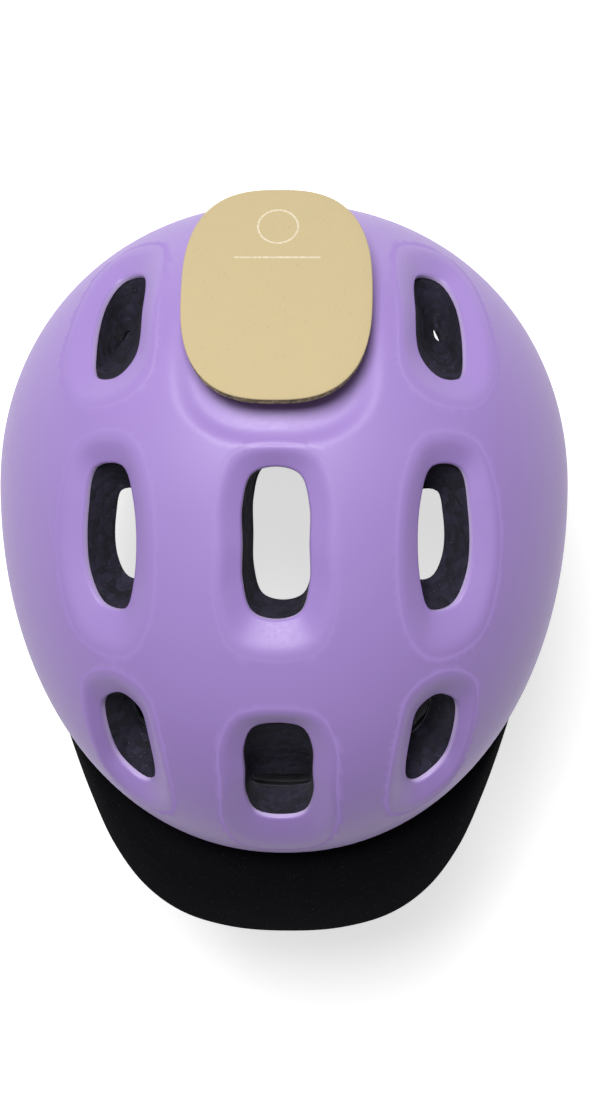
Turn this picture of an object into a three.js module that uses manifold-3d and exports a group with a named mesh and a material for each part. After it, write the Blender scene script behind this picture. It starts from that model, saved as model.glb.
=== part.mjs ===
// Riding helmet: a vented shell over a foam liner, with a pull-off visor, a dial-adjusted
// nape cradle and a four-point harness. Millimetres, +Z up, the front of the helmet towards -Y.
// The origin is the centre of the head opening.
import * as THREE from 'three';
import { mergeVertices } from 'three/addons/utils/BufferGeometryUtils.js';
import Module from 'manifold-3d';

const wasm = await Module();
wasm.setup();

// ---------------------------------------------------------------- driving dimensions

const GAP = 0.3;               // between pieces that touch
const RUNNING = 0.4;           // between pieces that slide or turn on each other

const DOME = {
  halfWidth: 108,              // ear to ear is twice this
  frontReach: 140.9,           // from the widest station to the brow
  rearReach: 108.1,            // from the widest station to the nape
  rise: 92,                    // crown above the widest level
  fall: 150,                   // how slowly the wall turns in below it
  widestLevel: 38,
  centreY: 16.5,               // widest station, behind the origin
  planPower: 2.1,              // superellipse powers, seen from above and from the side
  sidePower: 2.15,
  segments: 32,
  rows: 15,
};
const SHELL = { wall: 2 };
const LINER = { thickness: 20 };
const RIM = {
  // height of the shell's lower edge at stations along the helmet, front to rear
  stations: [[-150, 37], [-95, 33.5], [-50, 20], [0, 12], [50, 3], [95, -9], [150, -14]],
  bandDrop: 8,                 // depth of the black band under the shell's edge
  bandDropAtBrow: 15.5,
  bandWall: 2,
  samples: 16,
};
const VENT = { sides: 12, dishDepth: 5, draw: 34, headroom: 16 };
const PATCH = {
  seatY: 87,                   // where the plate's plane is tangent to the dome
  centreAlong: 2.9,            // the plate's centre, down the slope from there
  length: 86, width: 66, power: 2.7,
  faceThickness: 1, coreThickness: 2.4, mountThickness: 1.6, mountRadius: 19,
  recessDepth: 3.2, recessFront: 41, recessRear: 100, recessHalfWidth: 35.5,
};
const VISOR = {
  halfAngle: 48,               // degrees round the brow, each side of the middle
  rootLevel: 30, endLevel: 24, tipLevel: 20,
  arch: 4.5,                   // how far the surface bulges above a straight line
  rootThickness: 3.4, edgeThickness: 2.2,
  outline: [[0, -165], [26, -163.6], [47, -155.8], [60, -145], [70, -129], [78, -108], [86, -84], [91, -66]],
  columns: 20, rows: 4,
};
const PIN = {
  offsets: [-40, 0, 40], radius: 3.5, engagement: 12,
  setBack: 3, socketWall: 2.3, socketFloor: 2,
};
const PAD = { seat: 1, thickness: 6.5, hookThickness: 1.2, hookRadius: 10, hookGap: 0.8 };
const CROWN_PAD = { near: 15.5, far: 37.5, front: -30, rear: 44 };
const WEB = { width: 15, thickness: 1.4 };
const ANCHOR = {
  frontY: -35, rearY: 75,      // stations of the two straps of each side
  length: 15, wall: 2.6, proud: 3, slotDepth: 9, mouth: 14,
};
const YOKE = {
  inset: 31, y: 23, z: -62,    // the divider's pivot, in from the shell's side
  discRadius: 13, thickness: 5, tabMargin: 2.5, tabDrop: 26, slotDepth: 8,
};
const LEVER = { width: 16, length: 14, thickness: 2.2, clearance: 0.5, overhang: 0.9, lugWidth: 2.2 };
const CHIN = { level: -135, reach: 34, keeperAt: 0.62, keeperWall: 1.3, keeperLength: 8 };
const BUCKLE = {
  mouth: -1, length: 30, sideMargin: 5.5, height: 9, wall: 2,
  baseLength: 14, tongue: 21, tongueWidth: 4.4,
  prongLength: 19, prongInner: 5.4, prongWidth: 2.2, barbLength: 9, barbReach: 4.6, windowRear: 21,
};
const BAND = {
  height: 9, thickness: 1.2, clearance: 2.3, templeY: -20, templeRise: 8, dropFrom: 10, dropTo: 88,
  rivetRadius: 4.5, rivetThickness: 1.6,
};
const CRADLE = {
  level: -34, halfLength: 40, halfHeight: 12.5, floor: 2, wall: 2.4,
  coverThickness: 2.4, clearance: 7.3, padThickness: 5, padHalfLength: 32, padHalfHeight: 9.5,
};
const RACK = {
  thickness: 2, tail: 46, tip: 26, back: 9.6, tailHalfHeight: 4,
  toothedFrom: -22, toothedTo: 10,
};
const GEAR = { module: 1, teeth: 10, backlash: 0.25, shaftRadius: 3 };
const KNOB = { radius: 13, depth: 8, lobes: 10, lobeDepth: 0.7 };

// ---------------------------------------------------------------- finishes

function finish(color, roughness, metalness = 0) {
  return new THREE.MeshStandardMaterial({ color, roughness, metalness });
}
const FINISH = {
  shell: finish('#a88cd0', 0.45), foam: finish('#1b1828', 0.9), band: finish('#17161d', 0.6),
  visor: finish('#15141c', 0.75), patch: finish('#d6c59c', 0.8), core: finish('#8f8168', 0.9),
  rubber: finish('#1c1c20', 0.8), pad: finish('#2a2a30', 0.95), hook: finish('#0f0f12', 0.95),
  webbing: finish('#19191e', 0.9), plastic: finish('#1d1d22', 0.5), rivet: finish('#8a8a90', 0.35, 0.9),
};

// ---------------------------------------------------------------- solids

/** A closed manifold solid from any closed three.js geometry. */
function solidOf(geometry) {
  const bare = geometry.clone();
  bare.deleteAttribute('normal');
  bare.deleteAttribute('uv');
  const merged = mergeVertices(bare, 1e-4);
  return new wasm.Manifold(new wasm.Mesh({
    numProp: 3,
    vertProperties: new Float32Array(merged.attributes.position.array),
    triVerts: new Uint32Array(merged.index.array),
  }));
}

function geometryOf(solid) {
  const mesh = solid.getMesh();
  const geometry = new THREE.BufferGeometry();
  geometry.setAttribute('position', new THREE.BufferAttribute(mesh.vertProperties, 3));
  geometry.setIndex(new THREE.BufferAttribute(mesh.triVerts, 1));
  return geometry;
}

const join = (solids) => solids.reduce((whole, next) => whole.add(next));
const cut = (solid, cutters) => cutters.reduce((left, next) => left.subtract(next), solid);

/** Moves every vertex of a geometry by a function of its position. */
function reshape(geometry, place) {
  const position = geometry.attributes.position;
  const point = new THREE.Vector3();
  for (let i = 0; i < position.count; i += 1) {
    point.fromBufferAttribute(position, i);
    position.setXYZ(i, ...place(point.clone()).toArray());
  }
  return facingOut(geometry);
}

/** Turns a closed geometry's faces outwards when a mapping has turned it inside out. */
function facingOut(geometry) {
  const flat = geometry.index ? geometry.toNonIndexed() : geometry;
  const position = flat.attributes.position;
  const [a, b, c] = [new THREE.Vector3(), new THREE.Vector3(), new THREE.Vector3()];
  let volume = 0;
  for (let i = 0; i < position.count; i += 3) {
    a.fromBufferAttribute(position, i);
    b.fromBufferAttribute(position, i + 1);
    c.fromBufferAttribute(position, i + 2);
    volume += a.dot(b.cross(c));
  }
  if (volume > 0) return flat;
  for (let i = 0; i < position.count; i += 3) {
    b.fromBufferAttribute(position, i + 1);
    c.fromBufferAttribute(position, i + 2);
    position.setXYZ(i + 1, c.x, c.y, c.z);
    position.setXYZ(i + 2, b.x, b.y, b.z);
  }
  return flat;
}

/** A block whose three shares (0 to 1 along, across and through) are placed by a function. */
function bentBlock(along, across, place) {
  const block = new THREE.BoxGeometry(1, 1, 1, along, across, 1);
  return reshape(block, (p) => place(p.x + 0.5, p.y + 0.5, p.z + 0.5));
}

/** A box from its two extreme corners. */
function boxBetween(low, high) {
  const box = new THREE.BoxGeometry(high[0] - low[0], high[1] - low[1], high[2] - low[2]);
  return box.translate((low[0] + high[0]) / 2, (low[1] + high[1]) / 2, (low[2] + high[2]) / 2);
}

/** An outline in X and Z, made solid from rearY towards the front. */
function plateAcrossY(shape, depth, rearY, curveSegments = 12) {
  const plate = new THREE.ExtrudeGeometry(shape, { depth, bevelEnabled: false, curveSegments });
  return plate.rotateX(Math.PI / 2).translate(0, rearY, 0);
}

/** A closed loft through rings of points, with a fan over each end. */
function loft(rings) {
  const sides = rings[0].length;
  const middle = (ring) => ring.reduce((sum, p) => sum.add(p), new THREE.Vector3()).divideScalar(sides);
  const points = [...rings.flat(), middle(rings[0]), middle(rings.at(-1))];
  const [firstHub, lastHub] = [points.length - 2, points.length - 1];
  const index = [];
  for (let r = 0; r < rings.length - 1; r += 1) {
    for (let i = 0; i < sides; i += 1) {
      const [a, b] = [r * sides + i, r * sides + ((i + 1) % sides)];
      index.push(a, a + sides, b, b, a + sides, b + sides);
    }
  }
  const last = (rings.length - 1) * sides;
  for (let i = 0; i < sides; i += 1) {
    const next = (i + 1) % sides;
    index.push(firstHub, i, next, lastHub, last + next, last + i);
  }
  const geometry = new THREE.BufferGeometry().setFromPoints(points);
  geometry.setIndex(index);
  return facingOut(geometry);
}

// ---------------------------------------------------------------- the dome

/** Semi-axes of the dome's surface at an inset from the outside, for one end and one half. */
function reaches(towardsFront, above, inset) {
  return {
    x: DOME.halfWidth - inset,
    y: (towardsFront ? DOME.frontReach : DOME.rearReach) - inset,
    z: above ? DOME.rise - inset : DOME.fall,
  };
}

/** A dome as a closed solid: a sphere pushed out to the superellipsoid. */
function domeSolid(inset) {
  const ball = new THREE.SphereGeometry(1, DOME.segments, DOME.rows).rotateX(Math.PI / 2);
  return solidOf(reshape(ball, (p) => {
    const reach = reaches(p.y < 0, p.z > 0, inset);
    p.multiply(new THREE.Vector3(reach.x, reach.y, reach.z));
    const plan = Math.abs(p.x / reach.x) ** DOME.planPower + Math.abs(p.y / reach.y) ** DOME.planPower;
    const side = plan ** (DOME.sidePower / DOME.planPower) + Math.abs(p.z / reach.z) ** DOME.sidePower;
    return p.multiplyScalar(side ** (-1 / DOME.sidePower))
      .add(new THREE.Vector3(0, DOME.centreY, DOME.widestLevel));
  }));
}

/** The point of the upper dome over a place in plan. */
function onDome(x, y, inset) {
  const reach = reaches(y < DOME.centreY, true, inset);
  const plan = Math.abs(x / reach.x) ** DOME.planPower
    + Math.abs((y - DOME.centreY) / reach.y) ** DOME.planPower;
  const left = Math.max(1 - plan ** (DOME.sidePower / DOME.planPower), 0);
  return new THREE.Vector3(x, y, DOME.widestLevel + reach.z * left ** (1 / DOME.sidePower));
}

/** The upper dome's outward direction over a place in plan. */
function domeNormal(x, y) {
  const step = 0.5;
  const alongX = onDome(x + step, y, 0).sub(onDome(x - step, y, 0));
  const alongY = onDome(x, y + step, 0).sub(onDome(x, y - step, 0));
  return alongX.cross(alongY).normalize();
}

/** How much the dome's level section has shrunk at a height. */
function sectionScale(z, inset) {
  const reach = reaches(false, z > DOME.widestLevel, inset);
  return (1 - Math.abs((z - DOME.widestLevel) / reach.z) ** DOME.sidePower) ** (1 / DOME.sidePower);
}

/** The wall's point at a bearing from the dome's axis (0 is +X, -90 degrees the front). */
function wallAtAngle(angle, z, inset) {
  const [c, s] = [Math.cos(angle), Math.sin(angle)];
  const reach = reaches(s < 0, true, inset);
  const plan = Math.abs(c / reach.x) ** DOME.planPower + Math.abs(s / reach.y) ** DOME.planPower;
  const radius = sectionScale(z, inset) * plan ** (-1 / DOME.planPower);
  return new THREE.Vector3(radius * c, DOME.centreY + radius * s, z);
}

/** The wall's point on one side (+1 or -1) at a station along the helmet. */
function wallAtStation(side, y, z, inset) {
  const reach = reaches(y < DOME.centreY, true, inset);
  const across = sectionScale(z, inset) ** DOME.planPower
    - Math.abs((y - DOME.centreY) / reach.y) ** DOME.planPower;
  return new THREE.Vector3(side * reach.x * Math.max(across, 0) ** (1 / DOME.planPower), y, z);
}

/** The front wall's station at an offset from the middle. */
function browStation(x, z, inset) {
  const reach = reaches(true, true, inset);
  const along = sectionScale(z, inset) ** DOME.planPower - Math.abs(x / reach.x) ** DOME.planPower;
  return DOME.centreY - reach.y * along ** (1 / DOME.planPower);
}

const degrees = (angle) => THREE.MathUtils.degToRad(angle);
const linerInner = SHELL.wall + GAP + LINER.thickness;
const linerMiddle = SHELL.wall + GAP + LINER.thickness / 2;

// ---------------------------------------------------------------- rim line and cutters

const rimLine = new THREE.SplineCurve(RIM.stations.map(([y, z]) => new THREE.Vector2(y, z)))
  .getPoints(RIM.samples);

function rimHeight(y) {
  const next = Math.max(rimLine.findIndex((p) => p.x > y), 1);
  const [a, b] = [rimLine[next - 1], rimLine[next]];
  return a.y + ((b.y - a.y) * (y - a.x)) / (b.x - a.x);
}

/** Depth of the black band: deeper over the brow, where the visor plugs in. */
function bandDrop(y) {
  const towardsBrow = THREE.MathUtils.smoothstep(-y, 30, 110);
  return RIM.bandDrop + (RIM.bandDropAtBrow - RIM.bandDrop) * towardsBrow;
}

const hemHeight = (y) => rimHeight(y) - bandDrop(y);

/** Everything below a line drawn along the helmet, as wide as the helmet. */
function belowLine(height) {
  const depth = 4 * DOME.halfWidth;
  const [first, last] = [rimLine[0].x, rimLine.at(-1).x];
  const outline = new THREE.Shape(rimLine.map((p) => new THREE.Vector2(p.x, height(p.x))));
  outline.lineTo(last, -3 * DOME.fall);
  outline.lineTo(first, -3 * DOME.fall);
  const slab = new THREE.ExtrudeGeometry(outline, { depth, bevelEnabled: false });
  const turn = new THREE.Matrix4().makeBasis(
    new THREE.Vector3(0, 1, 0), new THREE.Vector3(0, 0, 1), new THREE.Vector3(1, 0, 0));
  return solidOf(slab.applyMatrix4(turn).translate(-depth / 2, 0, 0));
}

// ---------------------------------------------------------------- vents

/** A rounded slot on the centre line, from its half sizes. */
function centreSlot(frontY, rearY, halfWidth) {
  const [middle, half, corner] = [(frontY + rearY) / 2, (rearY - frontY) / 2, 0.72];
  const quarter = [[0, half], [halfWidth * corner, half * 0.9], [halfWidth, half * 0.5], [halfWidth, 0]];
  const side = [...quarter, ...quarter.slice(0, -1).reverse().map(([x, y]) => [x, -y])];
  return [...side, ...side.slice(1, -1).reverse().map(([x, y]) => [-x, y])]
    .map(([x, y]) => [x, middle + y]);
}

const mirrored = (points) => points.map(([x, y]) => [-x, y]);

// outlines in plan, X and Y: the hole at the foot of the dish, and the dish's outer edge
const CENTRE_VENTS = [
  { hole: centreSlot(-20.4, 32.9, 11.5), dish: centreSlot(-31.5, 39.8, 19) },
  { hole: centreSlot(-100.6, -59.2, 12.2), dish: centreSlot(-114.4, -54.4, 19) },
];
const SIDE_VENTS = [
  {                            // rear
    hole: [[49, 97], [57.5, 96], [63.5, 88], [66, 72], [64.5, 62.5], [57, 62.5], [50, 70], [48.5, 84]],
    dish: [[44.5, 106], [55, 106], [66, 98], [73, 82], [75, 64], [69, 55.5], [56, 57], [46, 66], [44, 86]],
  },
  {                            // middle
    hole: [[54, 32], [64, 31], [67.7, 16], [67.5, -6], [62, -17.5], [54, -18.5], [50.3, -8], [50, 20]],
    dish: [[53, 41], [68, 39], [75.5, 20], [76, -10], [69, -28], [55, -32], [46.5, -20], [46, 28]],
  },
  {                            // front
    hole: [[63.8, -55], [57, -51], [50, -56], [47.5, -67], [46.5, -85], [50, -88.5], [60, -81], [64, -69]],
    dish: [[69, -48], [60, -43.5], [48.5, -50], [44, -66], [42.5, -96], [48, -98.5], [61, -91], [69, -70]],
  },
];
const VENTS = [
  ...CENTRE_VENTS,
  ...SIDE_VENTS,
  ...SIDE_VENTS.map(({ hole, dish }) => ({ hole: mirrored(hole), dish: mirrored(dish) })),
];

/** Points of a smooth closed outline at equal bearings from a centre. */
function ringByBearing(outline, centre, sides) {
  const smooth = new THREE.CatmullRomCurve3(
    outline.map(([x, y]) => new THREE.Vector3(x - centre.x, y - centre.y, 0)), true, 'centripetal');
  const polar = smooth.getPoints(16 * sides).slice(1)
    .map((p) => [Math.atan2(p.y, p.x), Math.hypot(p.x, p.y)])
    .sort((a, b) => a[0] - b[0]);
  const turn = 2 * Math.PI;
  return Array.from({ length: sides }, (_, i) => {
    const bearing = -Math.PI + (turn * (i + 0.5)) / sides;
    const found = polar.findIndex(([angle]) => angle >= bearing);
    const after = found < 0 ? [polar[0][0] + turn, polar[0][1]] : polar[found];
    const last = polar.at(-1);
    const before = found === 0 ? [last[0] - turn, last[1]] : polar.at(found < 0 ? -1 : found - 1);
    const share = (bearing - before[0]) / (after[0] - before[0]);
    const radius = before[1] + (after[1] - before[1]) * share;
    return [centre.x + radius * Math.cos(bearing), centre.y + radius * Math.sin(bearing)];
  });
}

function middleOf(outline) {
  const sum = outline.reduce(([x, y], [u, v]) => [x + u, y + v], [0, 0]);
  return new THREE.Vector2(sum[0] / outline.length, sum[1] / outline.length);
}

/** The dish and the drawn hole of one vent, as cutters. */
function ventCutters({ hole, dish }) {
  const centre = middleOf(hole);
  const draw = domeNormal(centre.x, centre.y);
  const edge = ringByBearing(dish, centre, VENT.sides).map(([x, y]) => onDome(x, y, 0));
  const lip = ringByBearing(hole, centre, VENT.sides).map(([x, y]) => onDome(x, y, VENT.dishDepth));
  const beyond = edge.map((p, i) => p.clone().lerp(lip[i], -0.6));
  const moved = (ring, distance) => ring.map((p) => p.clone().addScaledVector(draw, distance));
  return {
    dish: (depth) => solidOf(loft(
      [moved(beyond, VENT.headroom), moved(beyond, -depth), moved(lip, -depth)])),
    hole: solidOf(loft([moved(lip, VENT.headroom), moved(lip, -VENT.draw)])),
  };
}

const ventParts = VENTS.map(ventCutters);

// ---------------------------------------------------------------- the patch's seat

const patchNormal = domeNormal(0, PATCH.seatY);
const patchDown = new THREE.Vector3(1, 0, 0).cross(patchNormal).negate();
const patchFrame = new THREE.Matrix4()
  .makeBasis(new THREE.Vector3(1, 0, 0), patchDown, patchNormal)
  .setPosition(onDome(0, PATCH.seatY, 0).addScaledVector(patchDown, PATCH.centreAlong));

/** A superellipse outline. */
function superellipse(halfX, halfY, power, sides = 32) {
  const rounded = (value) => Math.sign(value) * Math.abs(value) ** (2 / power);
  return Array.from({ length: sides }, (_, i) => {
    const angle = (2 * Math.PI * i) / sides;
    return new THREE.Vector2(halfX * rounded(Math.cos(angle)), halfY * rounded(Math.sin(angle)));
  });
}

/** The shallow recess round the patch, at a depth under the dome. */
function recessCutter(depth) {
  const centre = new THREE.Vector2(0, (PATCH.recessFront + PATCH.recessRear) / 2);
  const halfLength = (PATCH.recessRear - PATCH.recessFront) / 2;
  const rim = superellipse(PATCH.recessHalfWidth, halfLength, PATCH.power, 18);
  const edge = rim.map((p) => onDome(p.x, centre.y + p.y, 0));
  const floor = rim.map((p) => onDome(0.78 * p.x, centre.y + 0.82 * p.y, PATCH.recessDepth));
  const middle = rim.map((p) => onDome(0.35 * p.x, centre.y + 0.35 * p.y, PATCH.recessDepth));
  const beyond = edge.map((p, i) => p.clone().lerp(floor[i], -0.8));
  const moved = (ring, distance) => ring.map((p) => p.clone().addScaledVector(patchNormal, distance));
  return solidOf(loft(
    [moved(beyond, VENT.headroom), moved(beyond, -depth), moved(floor, -depth), moved(middle, -depth)]));
}

// ---------------------------------------------------------------- shell, band and liner

const holes = ventParts.map((part) => part.hole);
const dishesAt = (depth) => [...ventParts.map((part) => part.dish(depth)), recessCutter(depth)];

function outerShell() {
  const outside = cut(domeSolid(0), dishesAt(0));
  const inside = cut(domeSolid(SHELL.wall), dishesAt(SHELL.wall));
  return cut(outside, [inside, ...holes, belowLine(rimHeight)]);
}

/** Cylinder along Y between two stations. */
function rodAlongY(radius, frontY, rearY, x, z, sides = 18) {
  return new THREE.CylinderGeometry(radius, radius, rearY - frontY, sides)
    .translate(x, (frontY + rearY) / 2, z);
}

const pinHole = PIN.radius + GAP;
const socketRadius = pinHole + PIN.socketWall;
const visorRootAt = (x) => VISOR.rootLevel
  + (VISOR.endLevel - VISOR.rootLevel) * (x / VISOR.outline.at(-1)[0]) ** 2;
const socketFront = (x) => browStation(
  Math.abs(x) + socketRadius, visorRootAt(x), RIM.bandWall + PIN.setBack);
const socketRear = (x) => socketFront(x) + PIN.engagement + PIN.socketFloor + GAP;

function rimBand() {
  const ring = cut(domeSolid(0), [domeSolid(RIM.bandWall)]).intersect(belowLine((y) => rimHeight(y) - GAP));
  const flange = cut(domeSolid(0), [domeSolid(linerInner - 1)])
    .intersect(belowLine((y) => hemHeight(y) + RIM.bandWall));
  const pinHoles = PIN.offsets.map((x) => solidOf(
    rodAlongY(pinHole, DOME.centreY - DOME.frontReach - 20, socketFront(x), x, visorRootAt(x))));
  return cut(ring.add(flange), [belowLine(hemHeight), ...pinHoles, ...anchorPockets()]);
}

function epsLiner() {
  const skin = SHELL.wall + GAP;
  const body = cut(domeSolid(skin), [...dishesAt(skin), domeSolid(linerInner), ...holes]);
  const pockets = PIN.offsets.map((x) => solidOf(rodAlongY(
    socketRadius + GAP, DOME.centreY - DOME.frontReach - 20, socketRear(x) + GAP, x, visorRootAt(x))));
  return cut(body, [
    belowLine((y) => hemHeight(y) + RIM.bandWall + GAP), ...pockets, ...anchorPockets(),
  ]);
}

/** A cup that grips one of the visor's pins, open to the front. */
function visorSocket(x) {
  const [front, rear] = [socketFront(x), socketRear(x)];
  const profile = [
    [0, rear], [socketRadius, rear], [socketRadius, front], [pinHole, front],
    [pinHole, rear - PIN.socketFloor], [0, rear - PIN.socketFloor],
  ].map(([r, y]) => new THREE.Vector2(r, y)).reverse();
  return facingOut(new THREE.LatheGeometry(profile, 18).translate(x, 0, visorRootAt(x)));
}

// ---------------------------------------------------------------- visor

const visorEdge = new THREE.CatmullRomCurve3([
  ...VISOR.outline.slice(1).reverse().map(([x, y]) => new THREE.Vector3(-x, y, 0)),
  ...VISOR.outline.map(([x, y]) => new THREE.Vector3(x, y, 0)),
], false, 'centripetal');

/** A point of the visor: along is -1 to 1 round the brow, out 0 at the root to 1 at the edge. */
function visorPoint(along, out, through) {
  const angle = degrees(-90 + VISOR.halfAngle * along);
  const root = wallAtAngle(angle, visorRootAt(0), -RUNNING);
  root.z = visorRootAt(root.x);
  const edge = visorEdge.getPointAt((along + 1) / 2);
  edge.z = VISOR.tipLevel + (VISOR.endLevel - VISOR.tipLevel) * along ** 2;
  const point = root.lerp(edge, out);
  point.z += VISOR.arch * Math.sin(Math.PI * out) * Math.cos((Math.PI * along) / 2);
  const thickness = VISOR.rootThickness + (VISOR.edgeThickness - VISOR.rootThickness) * out;
  point.z += (through - 0.5) * thickness;
  return point;
}

function visor() {
  const peak = bentBlock(VISOR.columns, VISOR.rows, (u, v, w) => visorPoint(2 * u - 1, v, w));
  const pins = PIN.offsets.map((x) => {
    const root = browStation(x, visorRootAt(x), -RUNNING) - 4;
    return solidOf(rodAlongY(PIN.radius, root, socketFront(x) + PIN.engagement, x, visorRootAt(x)));
  });
  return join([solidOf(peak), ...pins]);
}

// ---------------------------------------------------------------- patch

/** One layer of the patch, standing off the dome between two heights. */
function patchLayer(outline, low, high) {
  const shape = new THREE.Shape(outline);
  const layer = new THREE.ExtrudeGeometry(shape, { depth: high - low, bevelEnabled: false });
  return layer.translate(0, 0, low).applyMatrix4(patchFrame);
}

const patchBase = PATCH.mountThickness;
const patchOutline = superellipse(PATCH.width / 2, PATCH.length / 2, PATCH.power);
const patchCoreTop = patchBase + PATCH.coreThickness;

/** The self-gripping boss between the recess and the patch: flat on top, fitted below. */
function patchMount() {
  const radius = PATCH.mountRadius;
  const boss = new THREE.CylinderGeometry(radius, radius, 12, 28).rotateX(Math.PI / 2);
  boss.translate(0, -PATCH.centreAlong, -6 + patchBase - GAP).applyMatrix4(patchFrame);
  return solidOf(boss).subtract(cut(domeSolid(-GAP), [recessCutter(-GAP)]));
}

// ---------------------------------------------------------------- comfort pads

const hookOuter = linerInner + PAD.seat;
const padOuter = hookOuter + PAD.hookThickness + PAD.hookGap;

/** A pad on the liner's wall, between two bearings and two heights. */
function wallPad(fromAngle, toAngle, low, high, steps) {
  return bentBlock(steps, 3, (u, v, w) => wallAtAngle(
    degrees(fromAngle + (toAngle - fromAngle) * u), low + (high - low) * v, padOuter + PAD.thickness * w));
}

/** The hook disc that holds a wall pad. */
function wallHook(angle, z) {
  const disc = new THREE.CylinderGeometry(PAD.hookRadius, PAD.hookRadius, PAD.hookThickness, 14);
  const axis = new THREE.Vector3(0, DOME.centreY, z);
  const reach = wallAtAngle(degrees(angle), z, linerInner).distanceTo(axis);
  return reshape(disc, (p) => wallAtAngle(
    degrees(angle) + p.x / reach, z + p.z, hookOuter + PAD.hookThickness / 2 + p.y));
}

function crownPad(side) {
  return bentBlock(4, 8, (u, v, w) => onDome(
    side * (CROWN_PAD.near + (CROWN_PAD.far - CROWN_PAD.near) * u),
    CROWN_PAD.front + (CROWN_PAD.rear - CROWN_PAD.front) * v, padOuter + PAD.thickness * w));
}

function crownHook(side) {
  const disc = new THREE.CylinderGeometry(PAD.hookRadius, PAD.hookRadius, PAD.hookThickness, 14);
  const x = (side * (CROWN_PAD.near + CROWN_PAD.far)) / 2;
  const y = (CROWN_PAD.front + CROWN_PAD.rear) / 2;
  return reshape(disc, (p) => onDome(x + p.x, y + p.z, hookOuter + PAD.hookThickness / 2 + p.y));
}

// ---------------------------------------------------------------- harness

/** Webbing along a curve, its width square to the curve and to a given facing. */
function webbing(curve, facing, steps, width = WEB.width, thickness = WEB.thickness) {
  return bentBlock(steps, 1, (u, v, w) => {
    const tangent = curve.getTangentAt(u);
    const across = new THREE.Vector3().crossVectors(facing, tangent).normalize();
    const out = new THREE.Vector3().crossVectors(tangent, across);
    return curve.getPointAt(u).addScaledVector(across, (v - 0.5) * width)
      .addScaledVector(out, (w - 0.5) * thickness);
  });
}

const yokeX = DOME.halfWidth - YOKE.inset;
const yokeCentre = (side) => new THREE.Vector3(side * yokeX, YOKE.y, YOKE.z);

/** Where a strap leaves the hem, and its straight run to the divider. */
function strapRun(side, y) {
  const exit = wallAtStation(side, y, hemHeight(y), linerMiddle);
  const centre = yokeCentre(side);
  const down = centre.clone().sub(exit).normalize();
  return { exit, down, foot: centre.addScaledVector(down, -(YOKE.discRadius + 1.2)) };
}

/** A frame at the strap's exit: X along the strap's width, Z up along the strap. */
function anchorFrame(side, y) {
  const { exit, down } = strapRun(side, y);
  const width = new THREE.Vector3().crossVectors(new THREE.Vector3(side, 0, 0), down).normalize();
  const up = down.clone().negate();
  return new THREE.Matrix4().makeBasis(width, new THREE.Vector3().crossVectors(up, width), up)
    .setPosition(exit);
}

/** The anchor's block, or its pocket: grown all round and run out downwards. */
function anchorBlock(side, y, grow = 0, runOut = 0) {
  const [width, depth] = [WEB.width, WEB.thickness].map((size) => size + 2 * (ANCHOR.wall + grow));
  const length = ANCHOR.length + 2 * grow + runOut;
  const block = new THREE.BoxGeometry(width, depth, length);
  block.translate(0, 0, (ANCHOR.length - runOut) / 2 - ANCHOR.proud);
  return solidOf(block.applyMatrix4(anchorFrame(side, y)));
}

function anchorPockets() {
  const places = [-1, 1].flatMap((side) => [ANCHOR.frontY, ANCHOR.rearY].map((y) => [side, y]));
  return places.map(([side, y]) => anchorBlock(side, y, GAP, ANCHOR.mouth));
}

function strapAnchor(side, y) {
  const slot = new THREE.BoxGeometry(WEB.width + 2 * GAP, WEB.thickness + 2 * GAP, ANCHOR.slotDepth + 1);
  slot.translate(0, 0, (ANCHOR.slotDepth - 1) / 2 - ANCHOR.proud).applyMatrix4(anchorFrame(side, y));
  return anchorBlock(side, y).subtract(solidOf(slot));
}

function yokeStrap(side, y) {
  const { exit, down, foot } = strapRun(side, y);
  const head = exit.clone().addScaledVector(down, -(ANCHOR.slotDepth - ANCHOR.proud - GAP));
  return webbing(new THREE.LineCurve3(head, foot), new THREE.Vector3(side, 0, 0), 6);
}

const tabFoot = YOKE.z - YOKE.tabDrop;
const strapHead = tabFoot + YOKE.slotDepth - GAP;

/** The plate where three straps meet: round at the pivot, with a slotted tab and two lugs. */
function divider(side) {
  const half = YOKE.thickness / 2;
  const disc = new THREE.CylinderGeometry(YOKE.discRadius, YOKE.discRadius, YOKE.thickness, 32)
    .rotateZ(Math.PI / 2).translate(side * yokeX, YOKE.y, YOKE.z);
  const box = (x0, x1, y0, y1, z0, z1) => solidOf(boxBetween(
    [Math.min(side * x0, side * x1), y0, z0], [Math.max(side * x0, side * x1), y1, z1]));
  const tabHalf = WEB.width / 2 + YOKE.tabMargin;
  const tab = box(yokeX - half, yokeX + half, YOKE.y - tabHalf, YOKE.y + tabHalf, tabFoot, YOKE.z - 4);
  const slotHalf = { x: WEB.thickness / 2 + GAP, y: WEB.width / 2 + GAP };
  const slot = box(yokeX - slotHalf.x, yokeX + slotHalf.x, YOKE.y - slotHalf.y, YOKE.y + slotHalf.y,
    tabFoot - 1, tabFoot + YOKE.slotDepth);
  const lugInner = LEVER.width / 2 + RUNNING;
  const lugs = [-1, 1].map((end) => box(
    yokeX + half - 0.5, yokeX + half + LEVER.clearance + LEVER.thickness,
    YOKE.y + Math.min(end * lugInner, end * (lugInner + LEVER.lugWidth)),
    YOKE.y + Math.max(end * lugInner, end * (lugInner + LEVER.lugWidth)),
    YOKE.z + 1, YOKE.z + LEVER.length / 2 + LEVER.overhang));
  return join([solidOf(disc), tab, ...lugs]).subtract(slot);
}

const leverPivot = (side) => new THREE.Vector3(
  side * (yokeX + YOKE.thickness / 2 + LEVER.clearance + LEVER.thickness / 2), YOKE.y,
  YOKE.z + LEVER.length / 2);

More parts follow.
